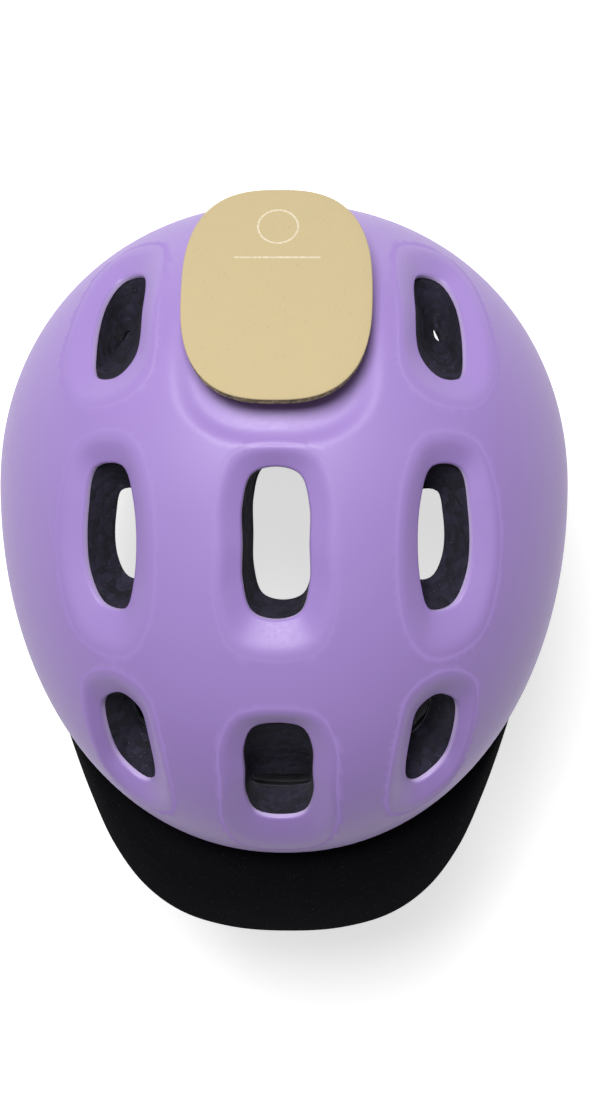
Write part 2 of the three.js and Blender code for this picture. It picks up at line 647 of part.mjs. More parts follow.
/** The cam lever that locks the straps, hinged at its top edge. */
function dividerLever(side) {
  const shape = new THREE.Shape();
  const [half, top, foot] = [LEVER.width / 2, LEVER.overhang, -LEVER.length];
  shape.moveTo(-half, top);
  shape.lineTo(half, top);
  shape.lineTo(half, foot + 4);
  shape.quadraticCurveTo(half, foot, half - 4, foot);
  shape.lineTo(4 - half, foot);
  shape.quadraticCurveTo(-half, foot, -half, foot + 4);
  const plate = new THREE.ExtrudeGeometry(
    shape, { depth: LEVER.thickness, bevelEnabled: false, curveSegments: 5 });
  const turn = new THREE.Matrix4().makeBasis(
    new THREE.Vector3(0, 1, 0), new THREE.Vector3(0, 0, 1), new THREE.Vector3(1, 0, 0));
  const pivot = leverPivot(side);
  return plate.applyMatrix4(turn).translate(pivot.x - LEVER.thickness / 2, pivot.y, pivot.z);
}

const buckleHalf = WEB.width / 2 + BUCKLE.sideMargin;
const buckleRear = BUCKLE.mouth - BUCKLE.length;
const buckleFront = BUCKLE.mouth + GAP + BUCKLE.baseLength;

/** One half of the chin strap, from its divider down to its half of the buckle. */
function chinCurve(side, end) {
  const point = (x, z) => new THREE.Vector3(x, YOKE.y, z);
  const drop = tabFoot - CHIN.level;
  const route = new THREE.CurvePath();
  route.add(new THREE.LineCurve3(point(side * yokeX, strapHead), point(side * yokeX, tabFoot)));
  route.add(new THREE.CubicBezierCurve3(
    point(side * yokeX, tabFoot), point(side * yokeX, tabFoot - 0.78 * drop),
    point(end + side * CHIN.reach, CHIN.level), point(end, CHIN.level)));
  return route;
}

const leftChin = chinCurve(-1, buckleRear + BUCKLE.wall);
const rightChin = chinCurve(1, buckleFront - BUCKLE.wall);
const loopFacing = new THREE.Vector3(0, 0, 1);

/** Webbing in the plane of the chin loop: its width lies fore and aft. */
function chinStrap(curve) {
  return bentBlock(16, 1, (u, v, w) => {
    const tangent = curve.getTangentAt(u);
    const out = new THREE.Vector3(-tangent.z, 0, tangent.x);
    const point = curve.getPointAt(u).addScaledVector(out, (w - 0.5) * WEB.thickness);
    return point.add(new THREE.Vector3(0, (v - 0.5) * WEB.width, 0));
  });
}

/** The elastic keeper round the left chin strap. */
function strapKeeper() {
  const at = leftChin.getPointAt(CHIN.keeperAt);
  const tangent = leftChin.getTangentAt(CHIN.keeperAt);
  const frame = new THREE.Matrix4().makeBasis(
    new THREE.Vector3(0, 1, 0), new THREE.Vector3(0, 1, 0).cross(tangent).negate(), tangent).setPosition(at);
  const [holeX, holeY] = [WEB.width / 2 + RUNNING, WEB.thickness / 2 + RUNNING];
  const shape = new THREE.Shape(superellipse(
    holeX + CHIN.keeperWall, holeY + CHIN.keeperWall + 0.6, 6, 32));
  shape.holes.push(new THREE.Path(superellipse(holeX + 0.5, holeY + 0.5, 12, 32)));
  const ring = new THREE.ExtrudeGeometry(shape, { depth: CHIN.keeperLength, bevelEnabled: false });
  return facingOut(ring.translate(0, 0, -CHIN.keeperLength / 2).applyMatrix4(frame));
}

// ---------------------------------------------------------------- buckle

/** A box in the buckle's own place: X as given, Y and Z as half sizes or ranges. */
function buckleBox(x0, x1, [y0, y1], halfHeight) {
  return solidOf(boxBetween(
    [x0, YOKE.y + y0, CHIN.level - halfHeight], [x1, YOKE.y + y1, CHIN.level + halfHeight]));
}

const strapSlot = (x0, x1) => buckleBox(
  x0, x1, [-WEB.width / 2 - GAP, WEB.width / 2 + GAP], WEB.thickness / 2 + GAP);

function buckleFemale() {
  const [half, tall] = [buckleHalf, BUCKLE.height / 2];
  const body = buckleBox(buckleRear, BUCKLE.mouth, [-half, half], tall);
  const cavity = buckleBox(BUCKLE.mouth - BUCKLE.windowRear - 1.5, BUCKLE.mouth + 1,
    [BUCKLE.wall - half, half - BUCKLE.wall], tall - BUCKLE.wall);
  const windows = buckleBox(BUCKLE.mouth - BUCKLE.windowRear, BUCKLE.mouth + 1,
    [-half - 1, half + 1], tall - BUCKLE.wall - 0.2);
  return cut(body, [cavity, windows, strapSlot(buckleRear - 1, buckleRear + BUCKLE.wall + GAP)]);
}

function buckleMale() {
  const [half, tall] = [buckleHalf - 0.5, BUCKLE.height / 2 - 0.3];
  const start = BUCKLE.mouth + GAP;
  const base = buckleBox(start, buckleFront, [-half, half], tall);
  const tongue = buckleBox(start - BUCKLE.tongue, start + 1,
    [-BUCKLE.tongueWidth / 2, BUCKLE.tongueWidth / 2], tall - BUCKLE.wall - 0.4);
  return base.add(tongue).subtract(strapSlot(buckleFront - BUCKLE.wall - GAP, buckleFront + 1));
}

/** A sprung prong with its barb, on one edge of the tongue. */
function prong(edge) {
  const root = BUCKLE.mouth;
  const [near, far] = [BUCKLE.prongInner, BUCKLE.prongInner + BUCKLE.prongWidth];
  const height = BUCKLE.height / 2 - BUCKLE.wall - 0.7;
  const shape = new THREE.Shape([
    [root, near], [root - BUCKLE.prongLength, near], [root - BUCKLE.prongLength, far + 1],
    [root - BUCKLE.prongLength + 2.5, far + BUCKLE.barbReach],
    [root - BUCKLE.prongLength + BUCKLE.barbLength, far + BUCKLE.barbReach],
    [root - BUCKLE.prongLength + BUCKLE.barbLength + 1, far], [root, far],
  ].map(([x, y]) => new THREE.Vector2(x, edge * y)));
  const plate = new THREE.ExtrudeGeometry(shape, { depth: 2 * height, bevelEnabled: false });
  return facingOut(plate.translate(0, YOKE.y, CHIN.level - height));
}

// ---------------------------------------------------------------- nape cradle

const cradleFace = DOME.centreY + DOME.rearReach - linerInner - CRADLE.clearance;
const rackFront = cradleFace + CRADLE.floor + GAP;
const rackRear = rackFront + RACK.thickness;
const coverFront = rackRear + GAP;
const coverRear = coverFront + CRADLE.coverThickness;

function cradleHousing() {
  const [half, end] = [CRADLE.halfHeight, CRADLE.halfLength];
  const [floorBack, wallBack] = [cradleFace + CRADLE.floor, coverFront - GAP];
  const plate = boxBetween([-end, cradleFace, CRADLE.level - half], [end, floorBack, CRADLE.level + half]);
  const walls = [-1, 1].map((edge) => {
    const levels = [edge * half, edge * (half - CRADLE.wall)].sort((a, b) => a - b);
    return solidOf(boxBetween(
      [-end, floorBack - 0.5, CRADLE.level + levels[0]], [end, wallBack, CRADLE.level + levels[1]]));
  });
  return join([solidOf(plate), ...walls]);
}

function cradleCover() {
  const shape = new THREE.Shape(superellipse(CRADLE.halfLength, CRADLE.halfHeight, 8));
  const bore = GEAR.shaftRadius + RUNNING;
  shape.holes.push(new THREE.Path().absarc(0, 0, bore, 0, 2 * Math.PI, true));
  return plateAcrossY(shape, CRADLE.coverThickness, coverRear).translate(0, 0, CRADLE.level);
}

function napePad() {
  const rear = cradleFace - GAP;
  return bentBlock(8, 3, (u, v, w) => new THREE.Vector3(
    (2 * u - 1) * CRADLE.padHalfLength, rear - CRADLE.padThickness * w,
    CRADLE.level + (2 * v - 1) * CRADLE.padHalfHeight));
}

const pitchRadius = (GEAR.module * GEAR.teeth) / 2;
const toothHalf = (Math.PI * GEAR.module) / 4 - GEAR.backlash / 2;
const flank = Math.tan(degrees(20));
const TOOTH = { tip: 0.8 * GEAR.module, root: 1.15 * GEAR.module };

/** The upper rack, running to the left band; turned half round it is the lower one. */
function rackOutline(side) {
  const pitch = Math.PI * GEAR.module;
  const [rootZ, tipZ] = [pitchRadius + TOOTH.root, pitchRadius - TOOTH.tip];
  const [rootHalf, tipHalf] = [toothHalf + TOOTH.root * flank, toothHalf - TOOTH.tip * flank];
  const points = [[RACK.tip, RACK.back], [-CRADLE.halfLength, RACK.back]];
  points.push([-CRADLE.halfLength - 1.5, RACK.tailHalfHeight], [-RACK.tail, RACK.tailHalfHeight]);
  points.push([-RACK.tail, -RACK.tailHalfHeight], [-CRADLE.halfLength - 1, -RACK.tailHalfHeight]);
  points.push([-CRADLE.halfLength + 2, rootZ]);
  const first = Math.ceil(RACK.toothedFrom / pitch);
  const last = Math.floor(RACK.toothedTo / pitch);
  for (let n = first; n <= last; n += 1) {
    const middle = (n + 0.5) * pitch;
    points.push([middle - rootHalf, rootZ], [middle - tipHalf, tipZ]);
    points.push([middle + tipHalf, tipZ], [middle + rootHalf, rootZ]);
  }
  points.push([RACK.tip, rootZ]);
  return new THREE.Shape(points.map(([x, z]) => new THREE.Vector2(-side * x, -side * z)));
}

function rack(side) {
  return facingOut(plateAcrossY(rackOutline(side), RACK.thickness, rackRear)
    .translate(0, 0, CRADLE.level));
}

/** The pinion between the racks, with the shaft that carries the knob. */
function dialPinion() {
  const corners = [];
  const [tipRadius, rootRadius] = [pitchRadius + TOOTH.tip, pitchRadius - TOOTH.root];
  const tipHalf = (toothHalf - TOOTH.tip * flank) / tipRadius;
  const rootHalf = (toothHalf + TOOTH.root * flank) / rootRadius;
  for (let n = 0; n < GEAR.teeth; n += 1) {
    const middle = Math.PI / 2 + (2 * Math.PI * n) / GEAR.teeth;
    [[-rootHalf, rootRadius], [-tipHalf, tipRadius], [tipHalf, tipRadius], [rootHalf, rootRadius]]
      .forEach(([turn, r]) => corners.push(new THREE.Vector2(
        r * Math.cos(middle + turn), r * Math.sin(middle + turn))));
  }
  const gear = plateAcrossY(new THREE.Shape(corners), RACK.thickness, rackRear).translate(0, 0, CRADLE.level);
  const shaft = rodAlongY(GEAR.shaftRadius, rackFront + 0.5, knobFront + KNOB.depth - 1, 0, CRADLE.level, 20);
  return solidOf(gear).add(solidOf(shaft));
}

const knobFront = coverRear + RUNNING;

function dialKnob() {
  const outline = Array.from({ length: 4 * KNOB.lobes }, (_, i) => {
    const angle = (2 * Math.PI * i) / (4 * KNOB.lobes);
    const radius = KNOB.radius - KNOB.lobeDepth * (1 - Math.cos(KNOB.lobes * angle)) / 2;
    return new THREE.Vector2(radius * Math.cos(angle), radius * Math.sin(angle));
  });
  const shape = new THREE.Shape(outline);
  shape.holes.push(new THREE.Path().absarc(0, 0, GEAR.shaftRadius + GAP, 0, 2 * Math.PI, true));
  return plateAcrossY(shape, KNOB.depth, knobFront + KNOB.depth).translate(0, 0, CRADLE.level);
}

const bandInset = linerInner + BAND.clearance;
const templeLevel = hemHeight(BAND.templeY) + BAND.templeRise;

/** The band from the temple round to the rack's tail. */
function sideBand(side) {
  const level = (y) => THREE.MathUtils.lerp(
    templeLevel, CRADLE.level, THREE.MathUtils.smoothstep(y, BAND.dropFrom, BAND.dropTo));
  const stations = [BAND.templeY, 0, 20, 40, 60, cradleFace - 19];
  const along = stations.map((y) => wallAtStation(side, y, level(y), bandInset));
  const middle = (rackFront + rackRear) / 2;
  const tail = new THREE.Vector3(side * (RACK.tail + GAP), middle, CRADLE.level);
  const turnIn = tail.clone().add(new THREE.Vector3(side * 7, -0.8, 0));
  const curve = new THREE.CatmullRomCurve3([...along, turnIn, tail], false, 'centripetal');
  return bentBlock(24, 1, (u, v, w) => {
    const tangent = curve.getTangentAt(u);
    const out = new THREE.Vector3(tangent.y, -tangent.x, 0).normalize();
    const point = curve.getPointAt(u).addScaledVector(out, (w - 0.5) * BAND.thickness);
    return point.add(new THREE.Vector3(0, 0, (v - 0.5) * BAND.height));
  });
}

/** The rivet that holds a band at the temple. */
function bandRivet(side) {
  const y = BAND.templeY + 8;
  const centre = wallAtStation(side, y, templeLevel, bandInset + 2);
  const disc = new THREE.CylinderGeometry(BAND.rivetRadius, BAND.rivetRadius * 0.8, BAND.rivetThickness, 18);
  return facingOut(disc.rotateZ((-side * Math.PI) / 2)
    .translate(centre.x - side * (BAND.thickness / 2 + BAND.rivetThickness / 2), centre.y, centre.z));
}

// ---------------------------------------------------------------- assembly

const helmet = new THREE.Group();

function add(name, shape, material) {
  const geometry = shape instanceof wasm.Manifold ? geometryOf(shape) : shape;
  const mesh = new THREE.Mesh(geometry, material);
  mesh.name = name;
  helmet.add(mesh);
}

const SIDES = [['left', -1], ['right', 1]];

add('outer_shell', outerShell(), FINISH.shell);
add('eps_liner', epsLiner(), FINISH.foam);
add('rim_band', rimBand(), FINISH.band);
add('visor', visor(), FINISH.visor);
['left', 'centre', 'right'].forEach((place, i) => {
  add(`visor_socket_${place}`, visorSocket(PIN.offsets[i]), FINISH.rubber);
});

add('patch_mount', patchMount(), FINISH.rubber);
add('patch_core', patchLayer(patchOutline, patchBase, patchCoreTop), FINISH.core);
add('patch_face', patchLayer(
  patchOutline, patchCoreTop + GAP, patchCoreTop + GAP + PATCH.faceThickness), FINISH.patch);

add('pad_brow', wallPad(-128, -52, 28, 54, 16), FINISH.pad);
add('pad_rear', wallPad(58, 122, 4, 40, 12), FINISH.pad);
add('hook_brow', wallHook(-90, 41), FINISH.hook);
add('hook_rear', wallHook(90, 22), FINISH.hook);
SIDES.forEach(([name, side]) => {
  const bearing = side > 0 ? 0 : 180;
  add(`pad_side_${name}`, wallPad(bearing - 24, bearing + 24, 26, 52, 10), FINISH.pad);
  add(`hook_side_${name}`, wallHook(bearing, 39), FINISH.hook);
  add(`pad_crown_${name}`, crownPad(side), FINISH.pad);
  add(`hook_crown_${name}`, crownHook(side), FINISH.hook);
});

SIDES.forEach(([name, side]) => {
  add(`strap_anchor_front_${name}`, strapAnchor(side, ANCHOR.frontY), FINISH.plastic);
  add(`strap_anchor_rear_${name}`, strapAnchor(side, ANCHOR.rearY), FINISH.plastic);
  add(`strap_front_${name}`, yokeStrap(side, ANCHOR.frontY), FINISH.webbing);
  add(`strap_rear_${name}`, yokeStrap(side, ANCHOR.rearY), FINISH.webbing);
  add(`divider_${name}`, divider(side), FINISH.plastic);
  add(`divider_lever_${name}`, dividerLever(side), FINISH.plastic);
  add(`chin_strap_${name}`, chinStrap(side < 0 ? leftChin : rightChin), FINISH.webbing);
  add(`side_band_${name}`, sideBand(side), FINISH.plastic);
  add(`band_rivet_${name}`, bandRivet(side), FINISH.rivet);
  add(`rack_${name}`, rack(side), FINISH.plastic);
});
add('strap_keeper', strapKeeper(), FINISH.rubber);
add('buckle_female', buckleFemale(), FINISH.plastic);
add('buckle_male', buckleMale(), FINISH.plastic);
add('prong_front', prong(-1), FINISH.plastic);
add('prong_rear', prong(1), FINISH.plastic);

add('cradle_housing', cradleHousing(), FINISH.plastic);
add('cradle_cover', cradleCover(), FINISH.plastic);
add('nape_pad', napePad(), FINISH.pad);
add('dial_pinion', dialPinion(), FINISH.plastic);
add('dial_knob', dialKnob(), FINISH.plastic);

export default helmet;
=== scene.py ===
"""Riding helmet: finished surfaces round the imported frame.

Sizes are in millimetres, +Z up, the front of the helmet towards -Y and the origin at the centre of the
head opening. Every mesh is scaled to metres when it is published.
"""

import logging
import math
from collections.abc import Callable, Hashable, Sequence
from dataclasses import dataclass, field
from enum import Enum

import bmesh
import bpy
import numpy as np
from bmesh.types import BMesh, BMVert
from mathutils import Matrix, Vector, noise


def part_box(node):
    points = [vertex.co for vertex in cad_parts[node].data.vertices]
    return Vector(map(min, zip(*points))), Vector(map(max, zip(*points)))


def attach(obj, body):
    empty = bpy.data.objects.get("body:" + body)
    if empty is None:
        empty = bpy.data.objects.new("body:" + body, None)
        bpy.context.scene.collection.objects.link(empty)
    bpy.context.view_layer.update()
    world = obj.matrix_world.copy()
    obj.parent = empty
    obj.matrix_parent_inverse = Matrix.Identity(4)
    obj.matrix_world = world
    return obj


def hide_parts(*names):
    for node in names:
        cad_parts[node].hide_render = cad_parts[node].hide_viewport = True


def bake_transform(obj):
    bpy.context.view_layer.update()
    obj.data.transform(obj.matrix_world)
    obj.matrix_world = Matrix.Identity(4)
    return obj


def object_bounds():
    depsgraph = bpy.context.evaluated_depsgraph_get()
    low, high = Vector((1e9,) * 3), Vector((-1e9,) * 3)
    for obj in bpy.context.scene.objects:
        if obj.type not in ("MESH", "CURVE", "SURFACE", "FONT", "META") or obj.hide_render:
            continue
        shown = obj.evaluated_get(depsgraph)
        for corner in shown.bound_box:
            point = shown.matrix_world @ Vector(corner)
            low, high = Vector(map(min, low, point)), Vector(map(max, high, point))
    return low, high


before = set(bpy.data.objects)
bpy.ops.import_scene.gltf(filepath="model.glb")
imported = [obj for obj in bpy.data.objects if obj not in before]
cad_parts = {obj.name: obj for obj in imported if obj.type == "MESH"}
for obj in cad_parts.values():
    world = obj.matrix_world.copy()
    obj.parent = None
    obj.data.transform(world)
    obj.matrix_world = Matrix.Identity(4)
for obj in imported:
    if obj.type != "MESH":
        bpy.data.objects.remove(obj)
CAD_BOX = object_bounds()

MM = 0.001
LOG = logging.getLogger("helmet")
FACTOR, FIRST, SECOND, MIXED = 0, 6, 7, 2    # a colour Mix node's sockets
SAME_SPOT = 0.01    # millimetres between vertices that are one
FLAT = 1.5    # degrees between facets of one face

Place = Callable[[Hashable], Vector]
Drawn = dict[str, bpy.types.NodeSocket]
Ring = dict[BMVert, Hashable]
Station = tuple[Vector, Vector, Vector]


class Side(Enum):
    """The wearer's left and right, and the sign of X on each."""

    LEFT = -1
    RIGHT = 1

    @property
    def label(self) -> str:
        """The word that the side's pieces are named with."""
        return self.name.lower()


def smooth_step(value: float) -> float:
    """Eases a share from 0 to 1, clamped at both ends."""
    share = min(max(value, 0.0), 1.0)
    return share * share * (3 - 2 * share)


def linear_colour(hex_code: str) -> tuple[float, float, float, float]:
    """Turns an sRGB hex code into a linear colour.

    Args:
        hex_code: six hex digits after a hash.

    Returns:
        Linear red, green and blue, with an alpha of 1.
    """
    shares = [int(hex_code[i : i + 2], 16) / 255 for i in (1, 3, 5)]
    linear = [s / 12.92 if s <= 0.04045 else ((s + 0.055) / 1.055) ** 2.4 for s in shares]
    return (*linear, 1.0)


def add_node(
    tree: bpy.types.NodeTree, kind: str, inputs: dict[str | int, object] | None = None, **settings: object
) -> bpy.types.Node:
    """Adds one shader node with its settings, values and links.

    Args:
        tree: the material's node tree.
        kind: the node's Blender type.
        inputs: socket name or number to a value, or to another node's output to link.
        **settings: the node's own properties.

    Returns:
        The new node.
    """
    node = tree.nodes.new(kind)
    for name, value in settings.items():
        setattr(node, name, value)
    for socket, value in (inputs or {}).items():
        if isinstance(value, bpy.types.NodeSocket):
            tree.links.new(value, node.inputs[socket])
        else:
            node.inputs[socket].default_value = value
    return node


def per_metre(size: float) -> float:
    """The texture scale that makes one feature this many millimetres wide."""
    return 1.0 / (size * MM)


# ---------------------------------------------------------------- mesh tools


def extrude_ring(bm: BMesh, ring: Ring, place: Place) -> Ring:
    """Extrudes a closed boundary loop once and moves the new vertices into place.

    Args:
        bm: the mesh.
        ring: the loop's vertices, each with a key.
        place: gives the new vertex's position from its key.

    Returns:
        The new loop with the same keys.
    """
    edges = {e for v in ring for e in v.link_edges if e.other_vert(v) in ring and len(e.link_faces) < 2}
    made = bmesh.ops.extrude_edge_only(bm, edges=list(edges))["geom"]
    fresh = {v for v in made if isinstance(v, BMVert)}
    result: Ring = {}
    for vert, key in ring.items():
        twin = next(e.other_vert(vert) for e in vert.link_edges if e.other_vert(vert) in fresh)
        twin.co = place(key)
        result[twin] = key
    return result


def loft(bm: BMesh, rings: Sequence[Sequence[Vector]], closed: bool = False) -> list[BMVert]:
    """Skins a row of rings by extruding the first one from place to place.

    Args:
        bm: the mesh to add to.
        rings: rings of points, all with as many points.
        closed: joins the last ring to the first; otherwise both ends are capped.

    Returns:
        The new vertices, ring after ring.
    """
    count = len(rings[0])
    start = bmesh.ops.create_circle(bm, segments=count, radius=1.0, cap_ends=False)["verts"]
    ring: Ring = {vert: index for index, vert in enumerate(start)}
    for vert, index in ring.items():
        vert.co = rings[0][index]
    made = list(ring)
    for points in rings[1:]:
        ring = extrude_ring(bm, ring, points.__getitem__)
        made += list(ring)
    ends = [e for v in (*start, *ring) for e in v.link_edges if len(e.link_faces) < 2]
    if closed:
        bmesh.ops.bridge_loops(bm, edges=list(set(ends)))
    else:
        bmesh.ops.holes_fill(bm, edges=list(set(ends)), sides=0)
    return made


def carve(bm: BMesh, level: Callable[[Vector], float], snap: float = 0.28) -> list[BMVert]:
    """Cuts a mesh along the line where a level is zero, and deletes the side where it is negative.

    Args:
        bm: the mesh.
        level: a value for any point, negative on the side that goes.
        snap: vertices nearer than this share of an edge move onto the line instead of splitting it.

    Returns:
        The vertices that lie on the line.
    """
    value = {v: level(v.co) for v in bm.verts}
    moves: dict[BMVert, tuple[float, Vector]] = {}
    for edge in bm.edges:
        a, b = edge.verts
        if value[a] * value[b] < 0:
            share = value[a] / (value[a] - value[b])
            point = a.co.lerp(b.co, share)
            for vert, distance in ((a, share), (b, 1 - share)):
                if distance < snap and distance < moves.get(vert, (1.0, point))[0]:
                    moves[vert] = (distance, point)
    for vert, (_, point) in moves.items():
        vert.co = point
        value[vert] = 0.0
    for edge in [e for e in bm.edges if value[e.verts[0]] * value[e.verts[1]] < 0]:
        a, b = edge.verts
        _, vert = bmesh.utils.edge_split(edge, a, value[a] / (value[a] - value[b]))
        value[vert] = 0.0
    line = [v for v in bm.verts if value[v] == 0.0]
    bmesh.ops.connect_verts(bm, verts=line)
    gone = [f for f in bm.faces if min(value[v] for v in f.verts) < 0 or all(value[v] == 0 for v in f.verts)
            and level(f.calc_center_median()) < 0]
    bmesh.ops.delete(bm, geom=gone, context="FACES")
    return [v for v in line if v.is_valid and v.is_boundary]


def bent_block(
    bm: BMesh, columns: int, rows: int, place: Callable[[float, float, float], Vector]
) -> list[BMVert]:
    """A block whose shares along, across and through are placed by a function.

    Args:
        bm: the mesh to add to.
        columns: faces along.
        rows: faces across.
        place: gives a position from three shares of 0 to 1.

    Returns:
        The block's vertices.
    """
    sheet = bmesh.ops.create_grid(bm, x_segments=columns, y_segments=rows, size=0.5)["verts"]
    faces = list({f for v in sheet for f in v.link_faces})
    made = bmesh.ops.extrude_face_region(bm, geom=faces)["geom"]
    top = {v for v in made if isinstance(v, BMVert)}
    verts = [*sheet, *top]
    for vert in verts:
        vert.co = place(vert.co.x + 0.5, vert.co.y + 0.5, 1.0 if vert in top else 0.0)
    return verts


def superellipse(half_x: float, half_y: float, power: float, sides: int) -> list[Vector]:
    """Points round a superellipse in X and Y, anticlockwise."""
    points = []
    for i in range(sides):
        c, s = math.cos(2 * math.pi * i / sides), math.sin(2 * math.pi * i / sides)
        reach = (abs(c) ** power + abs(s) ** power) ** (-1 / power)
        points.append(Vector((half_x * c * reach, half_y * s * reach, 0)))
    return points


def smooth_curve(points: Sequence[Sequence[float]], steps: int, closed: bool = False) -> np.ndarray:
    """Samples a centripetal Catmull-Rom curve through points.

    Args:
        points: the points, of two or three numbers each.
        steps: samples between neighbouring points.
        closed: whether the curve runs back to its first point.

    Returns:
        One row of coordinates for each sample.
    """
    known = [np.array(p, float) for p in points]
    if closed:
        known = [known[-1], *known, known[0], known[1]]
    else:
        known = [2 * known[0] - known[1], *known, 2 * known[-1] - known[-2]]
    samples = []
    for p0, p1, p2, p3 in zip(known, known[1:], known[2:], known[3:]):
        t1 = np.linalg.norm(p1 - p0) ** 0.5
        t2 = t1 + np.linalg.norm(p2 - p1) ** 0.5
        t3 = t2 + np.linalg.norm(p3 - p2) ** 0.5
        for t in np.linspace(t1, t2, steps, endpoint=False):
            a1 = (t1 - t) / t1 * p0 + t / t1 * p1
            a2 = (t2 - t) / (t2 - t1) * p1 + (t - t1) / (t2 - t1) * p2
            a3 = (t3 - t) / (t3 - t2) * p2 + (t - t2) / (t3 - t2) * p3
            b1 = (t2 - t) / t2 * a1 + t / t2 * a2
            b2 = (t3 - t) / (t3 - t1) * a2 + (t - t1) / (t3 - t1) * a3
            samples.append((t2 - t) / (t2 - t1) * b1 + (t - t1) / (t2 - t1) * b2)
    if not closed:
        samples.append(known[-2])
    return np.array(samples)


@dataclass(frozen=True)
class Route:
    """A curve that is followed by its true length."""

    points: np.ndarray

    @property
    def lengths(self) -> np.ndarray:
        """Distance from the start to each point."""
        gaps = np.linalg.norm(np.diff(self.points, axis=0), axis=1)
        return np.concatenate([[0.0], np.cumsum(gaps)])

    def at(self, share: float) -> Vector:
        """The point at a share of the whole length."""
        lengths = self.lengths
        distance = share * lengths[-1]
        return Vector([np.interp(distance, lengths, column) for column in self.points.T])

    def heading(self, share: float) -> Vector:
        """The direction of travel at a share of the whole length."""
        return (self.at(min(share + 0.004, 1.0)) - self.at(max(share - 0.004, 0.0))).normalized()


# ---------------------------------------------------------------- finishes


@dataclass(frozen=True)
class Finish:
    """A finish: its colour and gloss, with the detail that a subclass draws on it."""

    name: str
    colour: str
    roughness: float
    metallic: float = 0.0
    ior: float = 1.5
    sheen: float = 0.0

    def material(self) -> bpy.types.Material:
        """The finish's material, made the first time that it is asked for."""
        known = bpy.data.materials.get(self.name)
        if known:
            return known
        made = bpy.data.materials.new(self.name)
        made.use_nodes = True
        tree = made.node_tree
        tree.nodes.clear()
        shader = add_node(tree, "ShaderNodeBsdfPrincipled", {
            "Base Color": linear_colour(self.colour), "Roughness": self.roughness,
            "Metallic": self.metallic, "IOR": self.ior, "Sheen Weight": self.sheen,
        })
        add_node(tree, "ShaderNodeOutputMaterial", {"Surface": shader.outputs["BSDF"]})
        for name, socket in self.dress(tree).items():
            tree.links.new(socket, shader.inputs[name])
        return made

    def dress(self, tree: bpy.types.NodeTree) -> Drawn:
        """Draws the finish's detail, and gives the socket that drives each of the shader's inputs."""
        return {}


@dataclass(frozen=True)
class SatinPolycarbonate(Finish):
    """Vacuum-formed polycarbonate, painted satin inside the mould.

    The eye sees an even colour with a soft sheen, a faint orange peel and slow clouding where the sheet was
    drawn thinner; the paler line along each hole's rolled lip is a painted highlight.
    """

    cloud: str = "#a184cb"
    # edge: colour of the painted highlight along each hole's lip
    edge: str = "#cdb9ea"
    cloud_size: float = 60.0
    peel_size: float = 1.3

    def dress(self, tree: bpy.types.NodeTree) -> Drawn:
        """Draws clouding, orange peel and the painted highlight along the holes' lips."""
        place = add_node(tree, "ShaderNodeTexCoord").outputs["Object"]
        cloud = add_node(tree, "ShaderNodeTexNoise", {
            "Vector": place, "Scale": per_metre(self.cloud_size), "Detail": 3.0})
        colour = add_node(tree, "ShaderNodeMix", {
            FACTOR: cloud.outputs["Fac"], FIRST: linear_colour(self.colour),
            SECOND: linear_colour(self.cloud),
        }, data_type="RGBA")
        # painted highlight: the lip rings marked in the mesh are mixed towards the pale edge colour
        lip_lit = add_node(tree, "ShaderNodeAttribute", attribute_name="lip_highlight")
        lip_lit_colour = add_node(tree, "ShaderNodeMix", {
            FACTOR: lip_lit.outputs["Fac"], FIRST: colour.outputs[MIXED], SECOND: linear_colour(self.edge),
        }, data_type="RGBA")
        peel = add_node(tree, "ShaderNodeTexNoise", {
            "Vector": place, "Scale": per_metre(self.peel_size), "Detail": 4.0, "Roughness": 0.6})
        gloss = add_node(tree, "ShaderNodeMapRange", {
            "Value": peel.outputs["Fac"], "From Min": 0.3, "From Max": 0.7,
            "To Min": self.roughness - 0.05, "To Max": self.roughness + 0.06})
        bump = add_node(tree, "ShaderNodeBump", {
            "Height": peel.outputs["Fac"], "Strength": 0.25, "Distance": 0.05 * MM})
        return {
            "Base Color": lip_lit_colour.outputs[MIXED], "Roughness": gloss.outputs["Result"],
            "Normal": bump.outputs["Normal"]}


@dataclass(frozen=True)
class ExpandedFoam(Finish):
    """Expanded polystyrene, moulded from black beads.

    The eye sees dull dark beads about 3 mm across packed into flats, each a slightly different dark,
    with grooves between them and a few pale grains where a bead's skin is rubbed.
    """

    light: str = "#282338"
    grain: str = "#8d84a2"
    bead: float = 3.0

    def dress(self, tree: bpy.types.NodeTree) -> Drawn:
        """Draws the beads, their grooves and the rubbed grains."""
        place = add_node(tree, "ShaderNodeTexCoord").outputs["Object"]
        beads = add_node(tree, "ShaderNodeTexVoronoi", {"Vector": place, "Scale": per_metre(self.bead)})
        tone = add_node(tree, "ShaderNodeSeparateColor", {0: beads.outputs["Color"]})
        colour = add_node(tree, "ShaderNodeMix", {
            FACTOR: tone.outputs[0], FIRST: linear_colour(self.colour), SECOND: linear_colour(self.light),
        }, data_type="RGBA")
        grains = add_node(tree, "ShaderNodeTexNoise", {
            "Vector": place, "Scale": per_metre(self.bead / 3), "Detail": 6.0, "Roughness": 0.75})
        rubbed = add_node(tree, "ShaderNodeMapRange", {
            "Value": grains.outputs["Fac"], "From Min": 0.62, "From Max": 0.74})
        speckled = add_node(tree, "ShaderNodeMix", {
            FACTOR: rubbed.outputs["Result"], FIRST: colour.outputs[MIXED],
            SECOND: linear_colour(self.grain),
        }, data_type="RGBA")
        bump = add_node(tree, "ShaderNodeBump", {
            "Height": beads.outputs["Distance"], "Strength": 0.7, "Distance": 0.5 * MM}, invert=True)
        return {"Base Color": speckled.outputs[MIXED], "Normal": bump.outputs["Normal"]}


